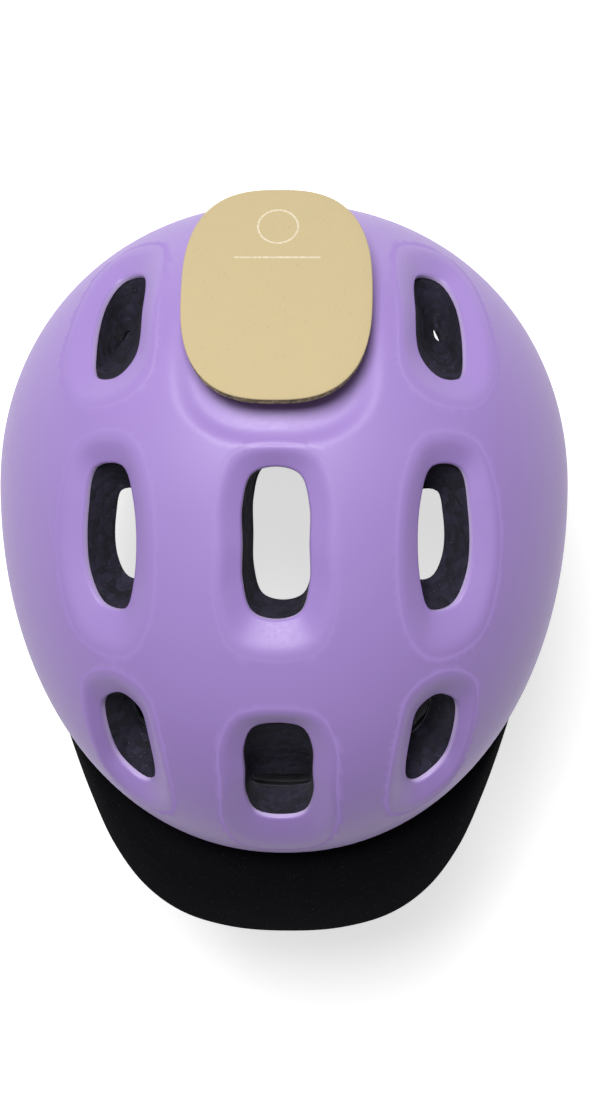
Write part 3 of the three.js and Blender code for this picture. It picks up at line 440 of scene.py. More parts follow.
@dataclass(frozen=True)
class GrainedPlastic(Finish):
    """Moulded plastic from an etched tool: ABS on the peak and rim, nylon on the buckles.

    The eye sees a fine leathery grain that breaks the gloss up; the tiny pale points on the grain's tips are
    painted glints.
    """

    grain: float = 0.8
    depth: float = 0.12
    # tips: colour of the painted glints on the grain's tips
    tips: str = "#6f6f7a"
    tip_share: float = 0.7

    def dress(self, tree: bpy.types.NodeTree) -> Drawn:
        """Draws the etched grain and the painted glints on its tips."""
        place = add_node(tree, "ShaderNodeTexCoord").outputs["Object"]
        etched = add_node(tree, "ShaderNodeTexNoise", {
            "Vector": place, "Scale": per_metre(self.grain), "Detail": 5.0, "Roughness": 0.65})
        # painted glints: the grain's highest tips are coloured paler
        tip_glints = add_node(tree, "ShaderNodeMapRange", {
            "Value": etched.outputs["Fac"],
            "From Min": self.tip_share - 0.06, "From Max": self.tip_share + 0.05})
        colour = add_node(tree, "ShaderNodeMix", {
            FACTOR: tip_glints.outputs["Result"], FIRST: linear_colour(self.colour),
            SECOND: linear_colour(self.tips),
        }, data_type="RGBA")
        gloss = add_node(tree, "ShaderNodeMapRange", {
            "Value": etched.outputs["Fac"], "From Min": 0.3, "From Max": 0.7,
            "To Min": self.roughness + 0.08, "To Max": self.roughness - 0.08})
        bump = add_node(tree, "ShaderNodeBump", {
            "Height": etched.outputs["Fac"], "Strength": 0.6, "Distance": self.depth * MM})
        return {
            "Base Color": colour.outputs[MIXED], "Roughness": gloss.outputs["Result"],
            "Normal": bump.outputs["Normal"]}


@dataclass(frozen=True)
class BondedLeather(Finish):
    """Bonded leather sheet with a printed mark: the patch's face.

    The eye sees a dull beige with slow mottling, short fibres and pin pores, and one thin pale ring
    with a short bar under it where the sheet was stamped.
    """

    mottle: str = "#c8b588"
    pore: str = "#a8946a"
    stamp: str = "#ece3cc"
    mottle_size: float = 9.0
    pore_size: float = 0.9
    centre: tuple[float, float, float] = (0.0, 0.0, 0.0)
    slope: float = 0.0
    ring_radius: float = 7.0
    line_width: float = 0.7
    bar_length: float = 30.0
    bar_drop: float = 13.0

    def dress(self, tree: bpy.types.NodeTree) -> Drawn:
        """Draws mottling, pores and the stamped ring and bar."""
        place = add_node(tree, "ShaderNodeTexCoord").outputs["Object"]
        clouds = add_node(tree, "ShaderNodeTexNoise", {
            "Vector": place, "Scale": per_metre(self.mottle_size), "Detail": 7.0, "Roughness": 0.7})
        colour = add_node(tree, "ShaderNodeMix", {
            FACTOR: clouds.outputs["Fac"], FIRST: linear_colour(self.colour),
            SECOND: linear_colour(self.mottle),
        }, data_type="RGBA")
        pores = add_node(tree, "ShaderNodeTexNoise", {
            "Vector": place, "Scale": per_metre(self.pore_size), "Detail": 3.0, "Roughness": 0.6})
        pitted = add_node(tree, "ShaderNodeMapRange", {
            "Value": pores.outputs["Fac"], "From Min": 0.64, "From Max": 0.72, "To Max": 0.55})
        marked = add_node(tree, "ShaderNodeMix", {
            FACTOR: pitted.outputs["Result"], FIRST: colour.outputs[MIXED],
            SECOND: linear_colour(self.pore),
        }, data_type="RGBA")
        sheet = add_node(tree, "ShaderNodeMapping", {
            "Vector": place, "Location": [c * MM for c in self.centre], "Rotation": (self.slope, 0, 0),
        }, vector_type="TEXTURE")
        axes = add_node(tree, "ShaderNodeSeparateXYZ", {0: sheet.outputs[0]})
        flat = add_node(tree, "ShaderNodeCombineXYZ", {"X": axes.outputs[0], "Y": axes.outputs[1]})
        radius = add_node(tree, "ShaderNodeVectorMath", {0: flat.outputs[0]}, operation="LENGTH")
        ring = add_node(tree, "ShaderNodeMath", {
            0: radius.outputs["Value"], 1: self.ring_radius * MM, 2: self.line_width / 2 * MM,
        }, operation="COMPARE")
        along = add_node(tree, "ShaderNodeMath", {
            0: axes.outputs[0], 1: 0.0, 2: self.bar_length / 2 * MM}, operation="COMPARE")
        across = add_node(tree, "ShaderNodeMath", {
            0: axes.outputs[1], 1: -self.bar_drop * MM, 2: self.line_width / 2 * MM}, operation="COMPARE")
        bar = add_node(tree, "ShaderNodeMath", {
            0: along.outputs[0], 1: across.outputs[0]}, operation="MULTIPLY")
        both = add_node(tree, "ShaderNodeMath", {0: ring.outputs[0], 1: bar.outputs[0]}, operation="MAXIMUM")
        broken = add_node(tree, "ShaderNodeMapRange", {
            "Value": pores.outputs["Fac"], "From Min": 0.38, "From Max": 0.56,
            "To Min": 0.25, "To Max": 0.75})
        share = add_node(tree, "ShaderNodeMath", {
            0: both.outputs[0], 1: broken.outputs["Result"]}, operation="MULTIPLY")
        stamped = add_node(tree, "ShaderNodeMix", {
            FACTOR: share.outputs[0], FIRST: marked.outputs[MIXED], SECOND: linear_colour(self.stamp),
        }, data_type="RGBA")
        bump = add_node(tree, "ShaderNodeBump", {
            "Height": pores.outputs["Fac"], "Strength": 0.5, "Distance": 0.12 * MM}, invert=True)
        return {"Base Color": stamped.outputs[MIXED], "Normal": bump.outputs["Normal"]}


@dataclass(frozen=True)
class CorkRubber(Finish):
    """Cork and rubber granulate, die cut: the patch's core.

    The eye sees tan, brown and grey crumbs about a millimetre across, cut through at the edge.
    """

    crumb: str = "#6f6556"
    pale: str = "#c9b78f"
    crumb_size: float = 1.1

    def dress(self, tree: bpy.types.NodeTree) -> Drawn:
        """Draws the crumbs."""
        place = add_node(tree, "ShaderNodeTexCoord").outputs["Object"]
        crumbs = add_node(tree, "ShaderNodeTexVoronoi", {
            "Vector": place, "Scale": per_metre(self.crumb_size)})
        tone = add_node(tree, "ShaderNodeSeparateColor", {0: crumbs.outputs["Color"]})
        ramp = add_node(tree, "ShaderNodeValToRGB", {0: tone.outputs[0]})
        ramp.color_ramp.elements[0].color = linear_colour(self.crumb)
        ramp.color_ramp.elements[1].color = linear_colour(self.pale)
        middle = ramp.color_ramp.elements.new(0.5)
        middle.color = linear_colour(self.colour)
        bump = add_node(tree, "ShaderNodeBump", {
            "Height": tone.outputs[1], "Strength": 0.8, "Distance": 0.15 * MM})
        return {"Base Color": ramp.outputs["Color"], "Normal": bump.outputs["Normal"]}


@dataclass(frozen=True)
class MouldedRubber(Finish):
    """Moulded rubber: sockets, the keeper and the patch's boss.

    The eye sees a dull dark skin with a bloom of slightly greyer patches and a soft mottle.
    """

    bloom: str = "#2f2f33"
    bloom_size: float = 4.0

    def dress(self, tree: bpy.types.NodeTree) -> Drawn:
        """Draws the bloom and the mottled skin."""
        place = add_node(tree, "ShaderNodeTexCoord").outputs["Object"]
        bloom = add_node(tree, "ShaderNodeTexNoise", {
            "Vector": place, "Scale": per_metre(self.bloom_size), "Detail": 6.0})
        colour = add_node(tree, "ShaderNodeMix", {
            FACTOR: bloom.outputs["Fac"], FIRST: linear_colour(self.colour),
            SECOND: linear_colour(self.bloom),
        }, data_type="RGBA")
        bump = add_node(tree, "ShaderNodeBump", {
            "Height": bloom.outputs["Fac"], "Strength": 0.4, "Distance": 0.1 * MM})
        return {"Base Color": colour.outputs[MIXED], "Normal": bump.outputs["Normal"]}


@dataclass(frozen=True)
class BrushedKnit(Finish):
    """Brushed polyester knit over soft foam: the comfort pads.

    The eye sees a charcoal nap with rows of small loops; random patches where the nap stands up are painted
    lighter, a painted sheen.
    """

    # nap: the lighter colour of the painted sheen
    nap: str = "#4a4a54"
    loop: float = 1.1

    def dress(self, tree: bpy.types.NodeTree) -> Drawn:
        """Draws the loops, drawn a little coarser than the real knit so that they show, and the nap's painted
        sheen.
        """
        place = add_node(tree, "ShaderNodeTexCoord").outputs["Object"]
        loops = add_node(tree, "ShaderNodeTexVoronoi", {
            "Vector": place, "Scale": per_metre(self.loop), "Randomness": 0.35})
        nap = add_node(tree, "ShaderNodeTexNoise", {
            "Vector": place, "Scale": per_metre(self.loop / 2), "Detail": 5.0})
        # painted sheen: random patches of the nap are coloured lighter
        lit = add_node(tree, "ShaderNodeMapRange", {
            "Value": nap.outputs["Fac"], "From Min": 0.4, "From Max": 0.75})
        colour = add_node(tree, "ShaderNodeMix", {
            FACTOR: lit.outputs["Result"], FIRST: linear_colour(self.colour),
            SECOND: linear_colour(self.nap),
        }, data_type="RGBA")
        bump = add_node(tree, "ShaderNodeBump", {
            "Height": loops.outputs["Distance"], "Strength": 0.6, "Distance": 0.25 * MM}, invert=True)
        return {"Base Color": colour.outputs[MIXED], "Normal": bump.outputs["Normal"]}


@dataclass(frozen=True)
class HookPile(Finish):
    """Nylon hook tape: the discs that hold the pads.

    The eye sees close rows of tiny dark hooks with grey tips.
    """

    tips: str = "#45454c"
    pitch: float = 1.4

    def dress(self, tree: bpy.types.NodeTree) -> Drawn:
        """Draws the hooks as raised points."""
        place = add_node(tree, "ShaderNodeTexCoord").outputs["Object"]
        hooks = add_node(tree, "ShaderNodeTexVoronoi", {
            "Vector": place, "Scale": per_metre(self.pitch), "Randomness": 0.2})
        tip = add_node(tree, "ShaderNodeMapRange", {
            "Value": hooks.outputs["Distance"], "From Min": 0.15, "From Max": 0.4,
            "To Min": 1.0, "To Max": 0.0})
        colour = add_node(tree, "ShaderNodeMix", {
            FACTOR: tip.outputs["Result"], FIRST: linear_colour(self.colour),
            SECOND: linear_colour(self.tips),
        }, data_type="RGBA")
        bump = add_node(tree, "ShaderNodeBump", {
            "Height": tip.outputs["Result"], "Strength": 1.0, "Distance": 0.5 * MM})
        return {"Base Color": colour.outputs[MIXED], "Normal": bump.outputs["Normal"]}


@dataclass(frozen=True)
class WovenPolyester(Finish):
    """Narrow-woven polyester webbing.

    The eye sees fine ribs across the strap, lengthwise cords between them, bound edges and a soft sheen; the
    raised tops of the weave carry a painted highlight.
    """

    # yarn: colour of the painted highlight on the weave's raised tops
    rib_highlight: str = "#3a3a42"
    rib: float = 1.2
    cord: float = 1.5

    def dress(self, tree: bpy.types.NodeTree) -> Drawn:
        """Draws the weave from the strap's own coordinates, which run along and across it, with a painted
        highlight on its raised tops.
        """
        weave = add_node(tree, "ShaderNodeAttribute", attribute_name="weave").outputs["Vector"]
        axes = add_node(tree, "ShaderNodeSeparateXYZ", {0: weave})
        ribs = add_node(tree, "ShaderNodeMath", {
            0: axes.outputs[0], 1: math.tau / self.rib}, operation="MULTIPLY")
        cords = add_node(tree, "ShaderNodeMath", {
            0: axes.outputs[1], 1: math.tau / self.cord}, operation="MULTIPLY")
        rib_wave = add_node(tree, "ShaderNodeMath", {0: ribs.outputs[0]}, operation="SINE")
        cord_wave = add_node(tree, "ShaderNodeMath", {0: cords.outputs[0]}, operation="COSINE")
        both = add_node(tree, "ShaderNodeMath", {
            0: rib_wave.outputs[0], 1: cord_wave.outputs[0]}, operation="MULTIPLY")
        # painted highlight: where ribs and cords rise, the colour is lighter
        lit = add_node(tree, "ShaderNodeMapRange", {
            "Value": both.outputs[0], "From Min": -0.2, "From Max": 1.0})
        colour = add_node(tree, "ShaderNodeMix", {
            FACTOR: lit.outputs["Result"], FIRST: linear_colour(self.colour),
            SECOND: linear_colour(self.rib_highlight),
        }, data_type="RGBA")
        bump = add_node(tree, "ShaderNodeBump", {
            "Height": both.outputs[0], "Strength": 0.7, "Distance": 0.15 * MM})
        return {"Base Color": colour.outputs[MIXED], "Normal": bump.outputs["Normal"]}


@dataclass(frozen=True)
class BrushedSteel(Finish):
    """Brushed stainless steel: the temple rivets.

    The eye sees fine straight scratches that spread the highlight across them.
    """

    scratch: float = 0.25

    def dress(self, tree: bpy.types.NodeTree) -> Drawn:
        """Draws the scratches, long in Y."""
        place = add_node(tree, "ShaderNodeTexCoord").outputs["Object"]
        drawn = add_node(tree, "ShaderNodeMapping", {"Vector": place, "Scale": (1.0, 0.04, 1.0)})
        scratches = add_node(tree, "ShaderNodeTexNoise", {
            "Vector": drawn.outputs[0], "Scale": per_metre(self.scratch), "Detail": 4.0})
        gloss = add_node(tree, "ShaderNodeMapRange", {
            "Value": scratches.outputs["Fac"], "From Min": 0.3, "From Max": 0.7,
            "To Min": self.roughness - 0.1, "To Max": self.roughness + 0.15})
        bump = add_node(tree, "ShaderNodeBump", {
            "Height": scratches.outputs["Fac"], "Strength": 0.3, "Distance": 0.03 * MM})
        return {"Roughness": gloss.outputs["Result"], "Normal": bump.outputs["Normal"]}


LILAC_SHELL = SatinPolycarbonate("satin_polycarbonate", "#a98dd1", 0.46)
BLACK_FOAM = ExpandedFoam("expanded_polystyrene", "#12101c", 0.9)
RIM_ABS = GrainedPlastic("etched_abs_rim", "#131218", 0.6, grain=0.7, depth=0.06)
PEAK_ABS = GrainedPlastic(
    "etched_abs_peak", "#09080e", 0.72, ior=1.22, grain=0.75, depth=0.12, tips="#3a3a42", tip_share=0.68)
SMOOTH_NYLON = GrainedPlastic("moulded_nylon", "#17171c", 0.42, grain=0.5, depth=0.04, tip_share=0.74)
CORK_CORE = CorkRubber("cork_rubber", "#9a8a69", 0.9)
BLACK_RUBBER = MouldedRubber("moulded_rubber", "#17171a", 0.75)
PAD_KNIT = BrushedKnit("brushed_knit", "#26262c", 0.95, sheen=0.35)
HOOK_TAPE = HookPile("hook_tape", "#101013", 0.8)
STRAP_WEBBING = WovenPolyester("woven_webbing", "#141418", 0.8, sheen=0.25)
RIVET_STEEL = BrushedSteel("brushed_steel", "#9a9aa0", 0.32, metallic=1.0)


# ---------------------------------------------------------------- pieces


@dataclass(frozen=True)
class Role:
    """What a piece stands for: its name, body, material slot and the CAD nodes that it replaces."""

    name: str
    body: str
    slot: str
    nodes: tuple[str, ...] = ()


def lathe(bm: BMesh, profile: Sequence[tuple[float, float]], turn: Matrix, sides: int = 48) -> None:
    """Spins a profile about an axis into a closed body.

    Args:
        bm: the mesh to add to.
        profile: radius and height pairs, from one end to the other.
        turn: puts the axis, which is local Z, in place.
        sides: points round it.
    """
    bearings = [math.tau * i / sides for i in range(sides)]
    loft(bm, [[turn @ Vector((r * math.cos(a), r * math.sin(a), h)) for a in bearings] for r, h in profile])


def publish(
    bm: BMesh, role: Role, finish: Finish, sharp: float = 40.0, ride: bool = True
) -> bpy.types.Object:
    """Turns a mesh in millimetres into a finished piece of the object.

    Args:
        bm: the mesh, which is used up.
        role: what the piece stands for.
        finish: its finish.
        sharp: edges steeper than this many degrees are shaded sharp.
        ride: whether it rides on its body; a piece that spans a joint is left unparented.

    Returns:
        The new object.
    """
    bmesh.ops.scale(bm, vec=(MM, MM, MM), verts=bm.verts)
    mesh = bpy.data.meshes.new(role.name)
    bm.to_mesh(mesh)
    bm.free()
    mesh.shade_smooth()
    mesh.set_sharp_from_angle(angle=math.radians(sharp))
    mesh.materials.append(finish.material())
    piece = bpy.data.objects.new(role.name, mesh)
    bpy.context.scene.collection.objects.link(piece)
    if ride:
        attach(piece, role.body)
    if role.nodes:
        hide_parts(*role.nodes)
    LOG.info("%s: %d faces on %s", role.name, len(mesh.polygons), role.body)
    return piece


# ---------------------------------------------------------------- the dome and what is drawn on it


@dataclass(frozen=True)
class Dome:
    """The superellipsoid that the helmet's skins are offsets of."""

    half_width: float = 108.0
    front_reach: float = 140.9
    rear_reach: float = 108.1
    rise: float = 92.0
    fall: float = 150.0
    widest_level: float = 38.0
    centre_y: float = 16.5
    plan_power: float = 2.1
    side_power: float = 2.15

    @property
    def centre(self) -> Vector:
        """The dome's centre."""
        return Vector((0, self.centre_y, self.widest_level))

    def reach(self, point: Vector, inset: float) -> tuple[float, float, float]:
        """Semi-axes on the point's side of the centre, at an inset."""
        length = self.front_reach if point.y < self.centre_y else self.rear_reach
        height = self.rise - inset if point.z > self.widest_level else self.fall
        return self.half_width - inset, length - inset, height

    def measure(self, point: Vector, inset: float = 0.0) -> float:
        """How far out a point is: 1 on the surface, growing evenly outwards."""
        a, b, c = self.reach(point, inset)
        q = point - self.centre
        plan = abs(q.x / a) ** self.plan_power + abs(q.y / b) ** self.plan_power
        side = plan ** (self.side_power / self.plan_power) + abs(q.z / c) ** self.side_power
        return side ** (1 / self.side_power)

    def normal(self, point: Vector) -> Vector:
        """The outward direction at a point."""
        a, b, c = self.reach(point, 0.0)
        q = point - self.centre
        plan = max(abs(q.x / a) ** self.plan_power + abs(q.y / b) ** self.plan_power, 1e-9)
        share = plan ** (self.side_power / self.plan_power - 1)
        edge = self.plan_power - 1
        return Vector((
            math.copysign(share * abs(q.x / a) ** edge / a, q.x),
            math.copysign(share * abs(q.y / b) ** edge / b, q.y),
            math.copysign(abs(q.z / c) ** (self.side_power - 1) / c, q.z))).normalized()

    def settle(self, point: Vector, inset: float = 0.0) -> Vector:
        """Slides a point along its own radius on to the surface."""
        return self.centre + (point - self.centre) / self.measure(point, inset)

    def along(self, start: Vector, heading: Vector, inset: float = 0.0) -> Vector:
        """Where a line meets the surface.

        Args:
            start: a point of the line near the surface.
            heading: the line's direction.
            inset: how far the surface is inside the outermost one.

        Returns:
            The meeting point.
        """
        step, near, far = 0.0, self.measure(start, inset) - 1, 0.0
        probe = 1.0
        for _ in range(8):
            far = self.measure(start + heading * (step + probe), inset) - 1
            if abs(far - near) < 1e-12:
                break
            move = -near * probe / (far - near)
            step += move
            near = self.measure(start + heading * step, inset) - 1
            if abs(near) < 1e-7:
                break
            probe = max(min(abs(move), 1.0), 0.01)
        return start + heading * step

    def section(self, z: float, inset: float) -> float:
        """How much the level outline has shrunk at a height."""
        height = self.rise - inset if z > self.widest_level else self.fall
        return (1 - abs((z - self.widest_level) / height) ** self.side_power) ** (1 / self.side_power)

    def wall(self, bearing: float, z: float, inset: float) -> Vector:
        """The wall's point at a bearing in radians, 0 towards +X."""
        c, s = math.cos(bearing), math.sin(bearing)
        length = (self.front_reach if s < 0 else self.rear_reach) - inset
        plan = abs(c / (self.half_width - inset)) ** self.plan_power + abs(s / length) ** self.plan_power
        radius = self.section(z, inset) * plan ** (-1 / self.plan_power)
        return Vector((radius * c, self.centre_y + radius * s, z))

    def wall_at(self, side: float, y: float, z: float, inset: float) -> Vector:
        """The wall's point on one side, -1 or 1, at a station along the helmet."""
        length = (self.front_reach if y < self.centre_y else self.rear_reach) - inset
        across = self.section(z, inset) ** self.plan_power
        across -= abs((y - self.centre_y) / length) ** self.plan_power
        return Vector((side * (self.half_width - inset) * max(across, 0.0) ** (1 / self.plan_power), y, z))

    def brow(self, x: float, z: float, inset: float) -> float:
        """The front wall's station at an offset from the middle."""
        along = self.section(z, inset) ** self.plan_power
        along -= abs(x / (self.half_width - inset)) ** self.plan_power
        return self.centre_y - (self.front_reach - inset) * along ** (1 / self.plan_power)

    def over(self, x: float, y: float, inset: float = 0.0) -> Vector:
        """The upper surface's point over a place in plan."""
        level = Vector((x, y, self.widest_level + 1))
        a, b, c = self.reach(level, inset)
        plan = abs(x / a) ** self.plan_power + abs((y - self.centre_y) / b) ** self.plan_power
        left = max(1 - plan ** (self.side_power / self.plan_power), 0.0)
        return Vector((x, y, self.widest_level + c * left ** (1 / self.side_power)))


@dataclass(frozen=True)
class RimLine:
    """The shell's lower edge and the depth of the black band under it, along the helmet."""

    stations: tuple[tuple[float, float], ...] = (
        (-150, 37), (-95, 33.5), (-50, 20), (0, 12), (50, 3), (95, -9), (150, -14))
    band_drop: float = 8.0
    brow_drop: float = 15.5
    brow_from: float = 30.0
    brow_to: float = 110.0
    curve: np.ndarray = field(init=False, repr=False, compare=False)

    def __post_init__(self) -> None:
        """Samples the line once."""
        object.__setattr__(self, "curve", smooth_curve(self.stations, 12))

    def edge(self, y: float) -> float:
        """Height of the shell's lower edge."""
        return float(np.interp(y, self.curve[:, 0], self.curve[:, 1]))

    def hem(self, y: float) -> float:
        """Height of the band's lower edge."""
        deeper = smooth_step((-y - self.brow_from) / (self.brow_to - self.brow_from))
        return self.edge(y) - self.band_drop - (self.brow_drop - self.band_drop) * deeper


DOME = Dome()
RIM = RimLine()
SHELL_WALL = 2.0
GAP = 0.3
FOAM_THICKNESS = 20.0
FOAM_INNER = SHELL_WALL + GAP + FOAM_THICKNESS
FOAM_MIDDLE = SHELL_WALL + GAP + FOAM_THICKNESS / 2
BAND_WALL = 2.0


@dataclass(frozen=True)
class Vent:
    """One dished vent: a hole drawn along the dome's normal and the slope round it.

    Outlines are in plan: the hole at the foot of the dish, and the dish's outer edge.
    """

    hole: tuple[tuple[float, float], ...]
    dish: tuple[tuple[float, float], ...]
    depth: float = 5.0
    foot_scale: tuple[float, float] = (0.85, 0.85)
    foot_shift: tuple[float, float] = (0.0, 0.0)
    blend: float = 1.3
    spread: float = 1.3
    samples: int = 24
    centre: Vector = field(init=False, repr=False, compare=False)
    axes: tuple[Vector, Vector, Vector] = field(init=False, repr=False, compare=False)
    tables: tuple[np.ndarray, np.ndarray] = field(init=False, repr=False, compare=False)

    def __post_init__(self) -> None:
        """Works out the vent's own axes and its two outlines by bearing."""
        middle = np.mean(self.hole, axis=0)
        centre = DOME.over(*middle)
        draw = DOME.normal(centre)
        across = (Vector((1, 0, 0)) - draw * draw.x).normalized()
        object.__setattr__(self, "centre", centre)
        object.__setattr__(self, "axes", (across, draw.cross(across), draw))
        object.__setattr__(self, "tables", tuple(
            self.polar_table(outline, inset)
            for outline, inset in ((self.hole, self.depth), (self.dish, 0.0))))

    def polar_table(self, outline: Sequence[Sequence[float]], inset: float) -> np.ndarray:
        """Bearings and radii of a closed outline drawn in plan on the dome.

        Args:
            outline: points in plan.
            inset: how deep the outline lies.

        Returns:
            Two rows, bearings in order and radii.
        """
        curve = smooth_curve(outline, self.samples, closed=True)
        return np.array(sorted(self.polar(DOME.over(x, y, inset)) for x, y in curve)).T

    def polar(self, point: Vector) -> tuple[float, float]:
        """A point's bearing and radius about the vent's axis."""
        offset = point - self.centre
        u, v = offset.dot(self.axes[0]), offset.dot(self.axes[1])
        return math.atan2(v, u), math.hypot(u, v)

    def radii(self, bearing: float) -> tuple[float, float]:
        """Radius of the hole and of the dish at a bearing."""
        hole, dish = (float(np.interp(bearing, *table, period=math.tau)) for table in self.tables)
        return hole, max(dish, hole + 1.0)

    def share(self, point: Vector) -> float:
        """0 at the hole's edge, 1 at the dish's edge, and on outwards."""
        if (point - self.centre).length > 75 or DOME.normal(point).dot(self.axes[2]) < 0.2:
            return 9.0
        bearing, radius = self.polar(point)
        hole, dish = self.radii(bearing)
        return (radius - hole) / (dish - hole)

    def sink(self, share: float) -> float:
        """Depth of the dish, easing in at its outer edge."""
        straight = self.depth * (1 - share)
        near = max(self.blend - abs(straight), 0.0)
        return max(straight, 0.0) + near * near / (4 * self.blend)

    def foot(self, top: Vector, inset: float) -> Vector:
        """Where the foam's wall, which narrows, meets an inner face.

        Args:
            top: the wall's upper point.
            inset: the inner face's inset.

        Returns:
            The wall's lower point.
        """
        offset = top - self.centre
        across, up, draw = self.axes
        u = offset.dot(across) * self.foot_scale[0] + self.foot_shift[0]
        v = offset.dot(up) * self.foot_scale[1] + self.foot_shift[1]
        return DOME.along(self.centre + across * u + up * v - draw * FOAM_INNER, draw, inset)

    def on_skin(self, bearing: float, share: float, offset: float, inset: float, drop: float = 0.0) -> Vector:
        """A point of the dish or of the hole's wall.

        Args:
            bearing: about the vent's axis.
            share: 0 at the hole to 1 at the dish's edge.
            offset: further out than that, in millimetres.
            inset: of the skin that the vent is drawn on.
            drop: further down the hole.

        Returns:
            The point, before the recess is sunk.
        """
        hole, dish = self.radii(bearing)
        radius = hole + share * (dish - hole) + offset
        across, up, draw = self.axes
        start = self.centre + (across * math.cos(bearing) + up * math.sin(bearing)) * radius
        lateral = share + offset / (dish - hole)
        return DOME.along(start, draw, inset) - draw * (self.sink(lateral) + drop)


@dataclass(frozen=True)
class Recess:
    """The shallow dish that the patch floats over."""

    front: float = 41.0
    rear: float = 100.0
    half_width: float = 35.5
    depth: float = 3.2
    power: float = 2.7
    floor_share: float = 0.78
    seat_y: float = 87.0

    def sink(self, point: Vector) -> Vector:
        """How far a point of the skin is moved."""
        x = point.x / self.half_width
        y = (point.y - (self.front + self.rear) / 2) / ((self.rear - self.front) / 2)
        if max(abs(x), abs(y)) > 1.2 or point.z < DOME.widest_level:
            return Vector()
        out = (abs(x) ** self.power + abs(y) ** self.power) ** (1 / self.power)
        deep = smooth_step((1.06 - out) / (1.06 - self.floor_share))
        return DOME.normal(DOME.over(0, self.seat_y)) * (-self.depth * deep)


def centre_slot(front: float, rear: float, half_width: float) -> tuple[tuple[float, float], ...]:
    """A rounded slot on the centre line.

    Args:
        front: its front station.
        rear: its rear station.
        half_width: half its width.

    Returns:
        Its outline in plan.
    """
    middle, half = (front + rear) / 2, (rear - front) / 2
    quarter = [(0, half), (0.72 * half_width, 0.9 * half), (half_width, 0.5 * half), (half_width, 0)]
    side = quarter + [(x, -y) for x, y in reversed(quarter[:-1])]
    return tuple((x, middle + y) for x, y in side + [(-x, y) for x, y in reversed(side[1:-1])])


CENTRE_VENTS = (
    Vent(centre_slot(-20.4, 32.9, 11.5), centre_slot(-31.5, 39.8, 19.0),
         foot_scale=(0.86, 0.9), foot_shift=(1.9, 2.0)),
    Vent(centre_slot(-100.6, -59.2, 12.2), centre_slot(-114.4, -54.4, 19.0),
         foot_scale=(0.85, 0.2), foot_shift=(0.0, -24.0)),
)
FOOT_OF = {                    # scale and shift of the foam hole's foot, on the right
    "rear": ((0.15, 0.12), (13.0, 16.0)),
    "middle": ((0.66, 0.62), (2.2, -1.0)),
    "front": ((0.6, 0.5), (4.0, -4.0)),
}
SIDE_OUTLINES = {
    "rear": (
        ((49, 97), (57.5, 96), (63.5, 88), (66, 72), (64.5, 62.5), (57, 62.5), (50, 70), (48.5, 84)),
        ((44.5, 106), (55, 106), (66, 98), (73, 82), (75, 64), (69, 55.5), (56, 57), (46, 66), (44, 86))),
    "middle": (
        ((54, 32), (64, 31), (67.7, 16), (67.5, -6), (62, -17.5), (54, -18.5), (50.3, -8), (50, 20)),
        ((53, 41), (68, 39), (75.5, 20), (76, -10), (69, -28), (55, -32), (46.5, -20), (46, 28))),
    "front": (
        ((63.8, -55), (57, -51), (50, -56), (47.5, -67), (46.5, -85), (50, -88.5), (60, -81), (64, -69)),
        ((69, -48), (60, -43.5), (48.5, -50), (44, -66), (42.5, -96), (48, -98.5), (61, -91), (69, -70))),
}
VENTS = CENTRE_VENTS + tuple(
    Vent(*(tuple((side.value * x, y) for x, y in outline) for outline in outlines),
         foot_scale=FOOT_OF[place][0], foot_shift=(side.value * FOOT_OF[place][1][0], FOOT_OF[place][1][1]))
    for place, outlines in SIDE_OUTLINES.items() for side in Side)
RECESS = Recess()


@dataclass(frozen=True)
class ThroatKey:
    """Where a loop's vertex stands, and its twin on the skin's underside."""

    bearing: float
    spots: tuple[Vector, ...]
    twin: BMVert


